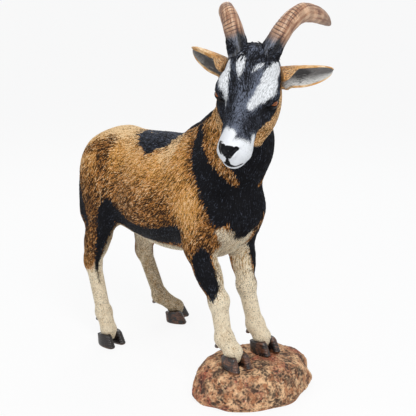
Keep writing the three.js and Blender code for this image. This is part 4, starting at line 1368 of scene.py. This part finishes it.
def new_coat(name, roots, normals, ways, size, lift, over, unwrap, seed, paint=None):
    """One piece of coat. Each lock's patch on its map lies where `unwrap` puts its root."""
    count = len(roots)
    rng = np.random.default_rng(seed)
    points = lock_points(roots, normals, ways, size, lift, over)
    corners = for_each_lock(LOCK_CORNERS, count, LOCK_KNOTS)
    starts = for_each_lock(LOCK_STARTS, count, len(LOCK_CORNERS))
    mesh = bpy.data.meshes.new(name)
    mesh.vertices.add(len(points))
    mesh.vertices.foreach_set("co", place(points).astype(np.float32).ravel())
    mesh.loops.add(len(corners))
    mesh.loops.foreach_set("vertex_index", corners)
    mesh.polygons.add(len(starts))
    mesh.polygons.foreach_set("loop_start", starts)
    mesh.polygons.foreach_set("use_smooth", np.ones(len(starts), bool))

    paint = paint or markings(roots + ways * size[:, :1] * 0.4)
    values = {key: np.repeat(value, LOCK_KNOTS) for key, value in paint.items()}
    values["tone"] = np.repeat(rng.uniform(0, 1, count), LOCK_KNOTS)
    crests = np.zeros((5, 3))
    crests[:, 1] = LOCK_TONE
    values["crest"] = np.tile(np.append(crests[:4], LOCK_TONE[4]), count)
    for key, value in values.items():
        mesh.attributes.new(key, "FLOAT", "POINT").data.foreach_set("value", value.astype(np.float32))

    patch = np.stack([np.append(np.tile([0, 0.5, 1], 4), 0.5),
                      np.append(np.repeat(LOCK_SHARE[:4], 3), 1.0)], 1) * LOCK_PATCH
    spots = (unwrap(roots)[:, None, :] * 0.99 + LOCK_PATCH + patch[None]).reshape(-1, 2)
    layer = mesh.uv_layers.new(name="OFBake")
    layer.data.foreach_set("uv", spots[corners].astype(np.float32).ravel())
    mesh.update()
    mesh.validate()
    return ride_along(mesh, COAT_FINISH)


def round_axis(start, end):
    """An unwrap of a form round its own axis: how far along, and how far round."""
    start, end = np.array(start, float), np.array(end, float)
    run = end - start
    ahead = unit(run)
    side = unit(np.cross(ahead, vec(0.3, 1, 0.2)))
    up = np.cross(ahead, side)

    def unwrap(points):
        off = points - start
        turn = np.arctan2(off @ side, off @ up) / (2 * math.pi) + 0.5
        return np.stack([np.clip(off @ run / (run @ run), 0, 1), turn], 1)
    return unwrap


def scatter(points, faces, spacing, seed):
    """Evenly scattered places on the skin, and the way out of it at each. `spacing` is in millimetres."""
    rng = np.random.default_rng(seed)
    fans = [(face[0], face[k], face[k + 1]) for face in faces for k in range(1, len(face) - 1)]
    a, b, c = (points[np.array(fans)[:, k]] for k in range(3))
    cross = np.cross(b - a, c - a)
    area = lengths(cross) / 2
    local = spacing((a + b + c) / 3)
    index = np.repeat(np.arange(len(area)), rng.poisson(area / local ** 2 * 2.6))
    u, v = rng.uniform(size=(2, len(index), 1))
    u, v = np.where(u + v > 1, 1 - u, u), np.where(u + v > 1, 1 - v, v)
    places = a[index] + u * (b - a)[index] + v * (c - a)[index]
    cells = np.floor(places / local[index][:, None]).astype(int)
    names = cells @ np.array([73856093, 19349663, 83492791]) + (local[index] * 8).astype(int) * 7
    order = rng.permutation(len(index))
    _, first = np.unique(names[order], return_index=True)
    kept = order[first]
    return places[kept], units(cross[index])[kept]


def turned_about(ways, axes, angle):
    """Each way turned about its own axis."""
    c, s = np.cos(angle)[:, None], np.sin(angle)[:, None]
    return ways * c + np.cross(axes, ways) * s


def one_side_of(form, side, frame):
    """The form on one side only, left or right in its own frame."""
    return lambda p: np.where((frame(p)[:, 1] < 0) == (side < 0), form(p), 99)


# Region of the body: its form, how its locks are laid (spacing, length, half width, height) and its axis
COAT_REGIONS = {f"trunk_{side}": (
    one_side_of(trunk_form, sign, lambda p: p), (4.3, 16, 1.9, 1.25), ((-350, 0, 440), (200, 0, 460)))
    for side, sign in SIDES.items()}
COAT_REGIONS["neck"] = neck_form, (4.2, 15, 1.8, 1.15), ((150, 0, 480), NECK_TOP)
COAT_REGIONS["tail"] = tail_form, (4.2, 20, 1.9, 1.2), (TAIL[0], TAIL[3])
COAT_REGIONS.update({f"head_{side}": (
    one_side_of(head_field, sign, to_head), (3.0, 8.5, 0.95, 0.5),
    (in_head(-30, 0, -50), in_head(250, 0, -50))) for side, sign in SIDES.items()})
for leg, make, poses, top in (("hind_leg", hind_leg, HIND, "stifle"), ("fore_leg", fore_leg, FORE, "elbow")):
    COAT_REGIONS.update({f"{leg}_{side}": (
        near(make(poses[sign]), *leg_box(poses[sign])), (4.15, 12, 1.5, 0.9),
        (poses[sign][top], poses[sign]["foot"])) for side, sign in SIDES.items()})


def build_coat(skin_points, skin_faces):
    coarse = 1.0
    rows = np.array([laid for _, laid, _ in COAT_REGIONS.values()])

    def region_of(points):
        return np.argmin([form(points) for form, _, _ in COAT_REGIONS.values()], axis=0)

    def fineness(points):
        """How small the strokes are: 1 on the trunk, less on lower legs, and least on the muzzle."""
        low_leg = 1 - 0.55 * smooth_step(300, 190, points[:, 2])
        muzzle_near = 1 - 0.6 * smooth_step(120, 215, to_head(points)[:, 0])
        return np.where(head_field(points) < 8, muzzle_near, low_leg)

    def spacing(points):
        return rows[region_of(points), 0] * fineness(points) * coarse

    places, normals = scatter(skin_points, skin_faces, spacing, 11)
    region, fine = region_of(places), fineness(places)
    ways = lie_of_coat(places, normals)
    swirl = 0.22 * wander(places, 46, 5) + 0.16 * wander(places, 15, 6)
    rng = np.random.default_rng(23)
    ways = turned_about(ways, normals, swirl + rng.normal(0, 0.08, len(places)) * rows[region, 0] / 2.2)
    size = rows[region][:, 1:] * (fine * coarse)[:, None] * rng.uniform(0.75, 1.3, (len(places), 3))
    size[:, 2] *= 1 / coarse
    lift = rng.uniform(0, 0.03, len(places))
    clear = ~in_the_way(places, to_head(places))
    for number, (name, (_, _, axis)) in enumerate(COAT_REGIONS.items()):
        mine = clear & (region == number)
        new_coat("coat_" + name, places[mine], normals[mine], ways[mine], size[mine], lift[mine], skin_field,
                 round_axis(*axis), number)
    build_poll_tufts(places, normals)
    for side_name, side_sign in SIDES.items():
        build_horn_tufts(f"horn_{side_name}", side_sign)


def black_hair(count):
    """The same black, dry-brushed paint for every tuft."""
    amounts = {**{paint: PAINT_ABSENT for paint in PAINTS}, "black": 3.0, "wash": 0.0, "dry": 0.2}
    return {"paint_" + key: np.full(count, amount) for key, amount in amounts.items()}


def build_poll_tufts(places, normals):
    """The tousled hair between the horns, falling over the top of the forehead."""
    rng = np.random.default_rng(41)
    q = to_head(places)
    mine = (q[:, 0] > -46) & (q[:, 0] < 24) & (np.abs(q[:, 1]) < 40 - 0.2 * np.abs(q[:, 0])) & (q[:, 2] > -52)
    mine &= rng.uniform(size=len(q)) < (0.22)
    roots, out, q = places[mine], normals[mine], q[mine]
    fall = (q - vec(-14, 2, 0)) * vec(1, 0.9, 0) + vec(14, 0, 0) + rng.normal(0, 9, q.shape)
    ways = fall @ HEAD_AXES
    ways = units(ways - np.einsum("ij,ij->i", ways, out)[:, None] * out)
    size = vec(17, 1.7, 1.5) * rng.uniform(0.7, 1.35, (len(roots), 3))
    new_coat("poll_tufts", roots, out, ways, size, rng.uniform(0.02, 0.18, len(roots)), skin_field,
             round_axis(in_head(-60, 0, -40), in_head(60, 0, -40)), 42, black_hair(len(roots)))


def build_horn_tufts(name, side):
    """Hair that climbs the root of a horn."""
    rng = np.random.default_rng(60 + side)
    count = 1200
    at, along = horn_line(side, 200)
    wide, flat = horn_axes(along)
    step = (2 + 20 * rng.uniform(size=count) ** 1.4).astype(int)
    turn = rng.uniform(0, 2 * math.pi, count)[:, None]
    out = units(wide[step] * np.cos(turn) + flat[step] * np.sin(turn))
    ring = wide[step] * np.cos(turn) + flat[step] * np.sin(turn) * HORN_FLATNESS
    roots = at[step] + horn_taper(step / 199)[:, None] * ring - out * 0.6
    ways = units(along[step] + 0.32 * rng.normal(size=(count, 1)) * np.cross(along[step], out))
    size = vec(12, 1.0, 0.6) * rng.uniform(0.7, 1.35, (count, 3))
    new_coat(f"{name}_tufts", roots, out, ways, size, rng.uniform(0, 0.03, count), None,
             round_axis(at[0], at[60]), 61 + side, black_hair(count))


def in_the_way(places, q):
    """Where no lock grows: eyes, nose, lips and soles."""
    blocked = (nose_leather(places) < 4) | (lips(places) < 0.5) | (places[:, 2] < 14)
    for side, (_, removed) in zip((-1, 1), FACE_WORK):
        blocked |= lengths(q - eye_place(side)) < EYE_RADIUS + BARE_ROUND_EYE
        for form, soft in removed:
            blocked |= form(q) < soft
    return blocked


skin_mesh = skin.data
flat_points = np.empty(len(skin_mesh.vertices) * 3)
skin_mesh.vertices.foreach_get("co", flat_points)
build_coat(flat_points.reshape(-1, 3) / MM + ORIGIN, [tuple(p.vertices) for p in skin_mesh.polygons])


# ---------------------------------------------------------------- light, floor and camera
CAMERA_AT, CAMERA_AIM = Vector((1.656, -1.3956, 1.009)), Vector((0.0220, 0.0564, 0.398))
CAMERA_LENS, CAMERA_SENSOR = 77.97, 36
LAMPS = {  # where each hangs, its width in metres and its power in watts
    "key": ((1.9, -0.9, 2.4), 1.4, 42),
    "fill": ((0.2, -2.8, 1.2), 2.2, 12),
    "rim": ((-1.6, 1.4, 2.0), 1.4, 14),
}
LAMP_AIM = Vector((0, 0, 0.45))
FLOOR_GLOW = 0.88  # the rest of what is seen of the floor is its own shaded white, so it keeps a shadow


def aimed(piece, at, aim):
    piece.location = at
    piece.rotation_euler = (aim - Vector(at)).to_track_quat("-Z", "Y").to_euler()
    bpy.context.scene.collection.objects.link(piece)


def seen_rays(s):
    """1 where the studio is looked at, straight or in a reflection; 0 where it lights something."""
    rays = s.node("ShaderNodeLightPath")
    seen = s.larger(s.out(rays, "Is Camera Ray"), s.out(rays, "Is Glossy Ray"))
    return s.larger(seen, s.out(rays, "Is Transmission Ray"))


def blended(s, share, first, second, output):
    """Two shaders mixed into the tree's output."""
    blend = s.node("ShaderNodeMixShader", {0: share, 1: s.out(first), 2: s.out(second)})
    s.node(output, {"Surface": s.out(blend)})


def build_stage():
    """A pale floor that fades into a white studio, with large soft lamps."""
    bpy.ops.mesh.primitive_plane_add(size=40)
    floor = bpy.context.object
    floor.name = "studio_floor"
    material = bpy.data.materials.new("studio_floor_white")
    material.use_nodes = True
    material.node_tree.nodes.clear()
    s = Shader(material.node_tree)
    white = s.mix(s.noise(s.place(), 90, 2), (0.9, 0.9, 0.9, 1), (0.93, 0.93, 0.93, 1))
    surface = s.node("ShaderNodeBsdfPrincipled", {"Base Color": white, "Roughness": 0.9})
    glow = s.node("ShaderNodeEmission", {"Color": (1, 1, 1, 1), "Strength": 1.0})
    blended(s, seen_rays(s) * FLOOR_GLOW, surface, glow, "ShaderNodeOutputMaterial")
    floor.data.materials.append(material)

    world = bpy.data.worlds.new("studio")
    bpy.context.scene.world = world
    world.use_nodes = True
    world.node_tree.nodes.clear()
    s = Shader(world.node_tree)
    soft = s.node("ShaderNodeBackground", {"Color": (0.93, 0.96, 1, 1), "Strength": 0.5})
    white = s.node("ShaderNodeBackground", {"Color": (1, 1, 1, 1), "Strength": 1.0})
    blended(s, seen_rays(s), soft, white, "ShaderNodeOutputWorld")

    for name, (at, size, power) in LAMPS.items():
        data = bpy.data.lights.new(name, "AREA")
        data.shape, data.size, data.energy = "DISK", size, power
        aimed(bpy.data.objects.new(name, data), at, LAMP_AIM)
    bpy.context.scene.view_settings.view_transform = "Standard"


def build_camera():
    data = bpy.data.cameras.new("camera")
    data.sensor_width, data.lens = CAMERA_SENSOR, CAMERA_LENS
    camera = bpy.data.objects.new("camera", data)
    aimed(camera, CAMERA_AT, CAMERA_AIM)
    bpy.context.scene.camera = camera


build_camera()
build_stage()
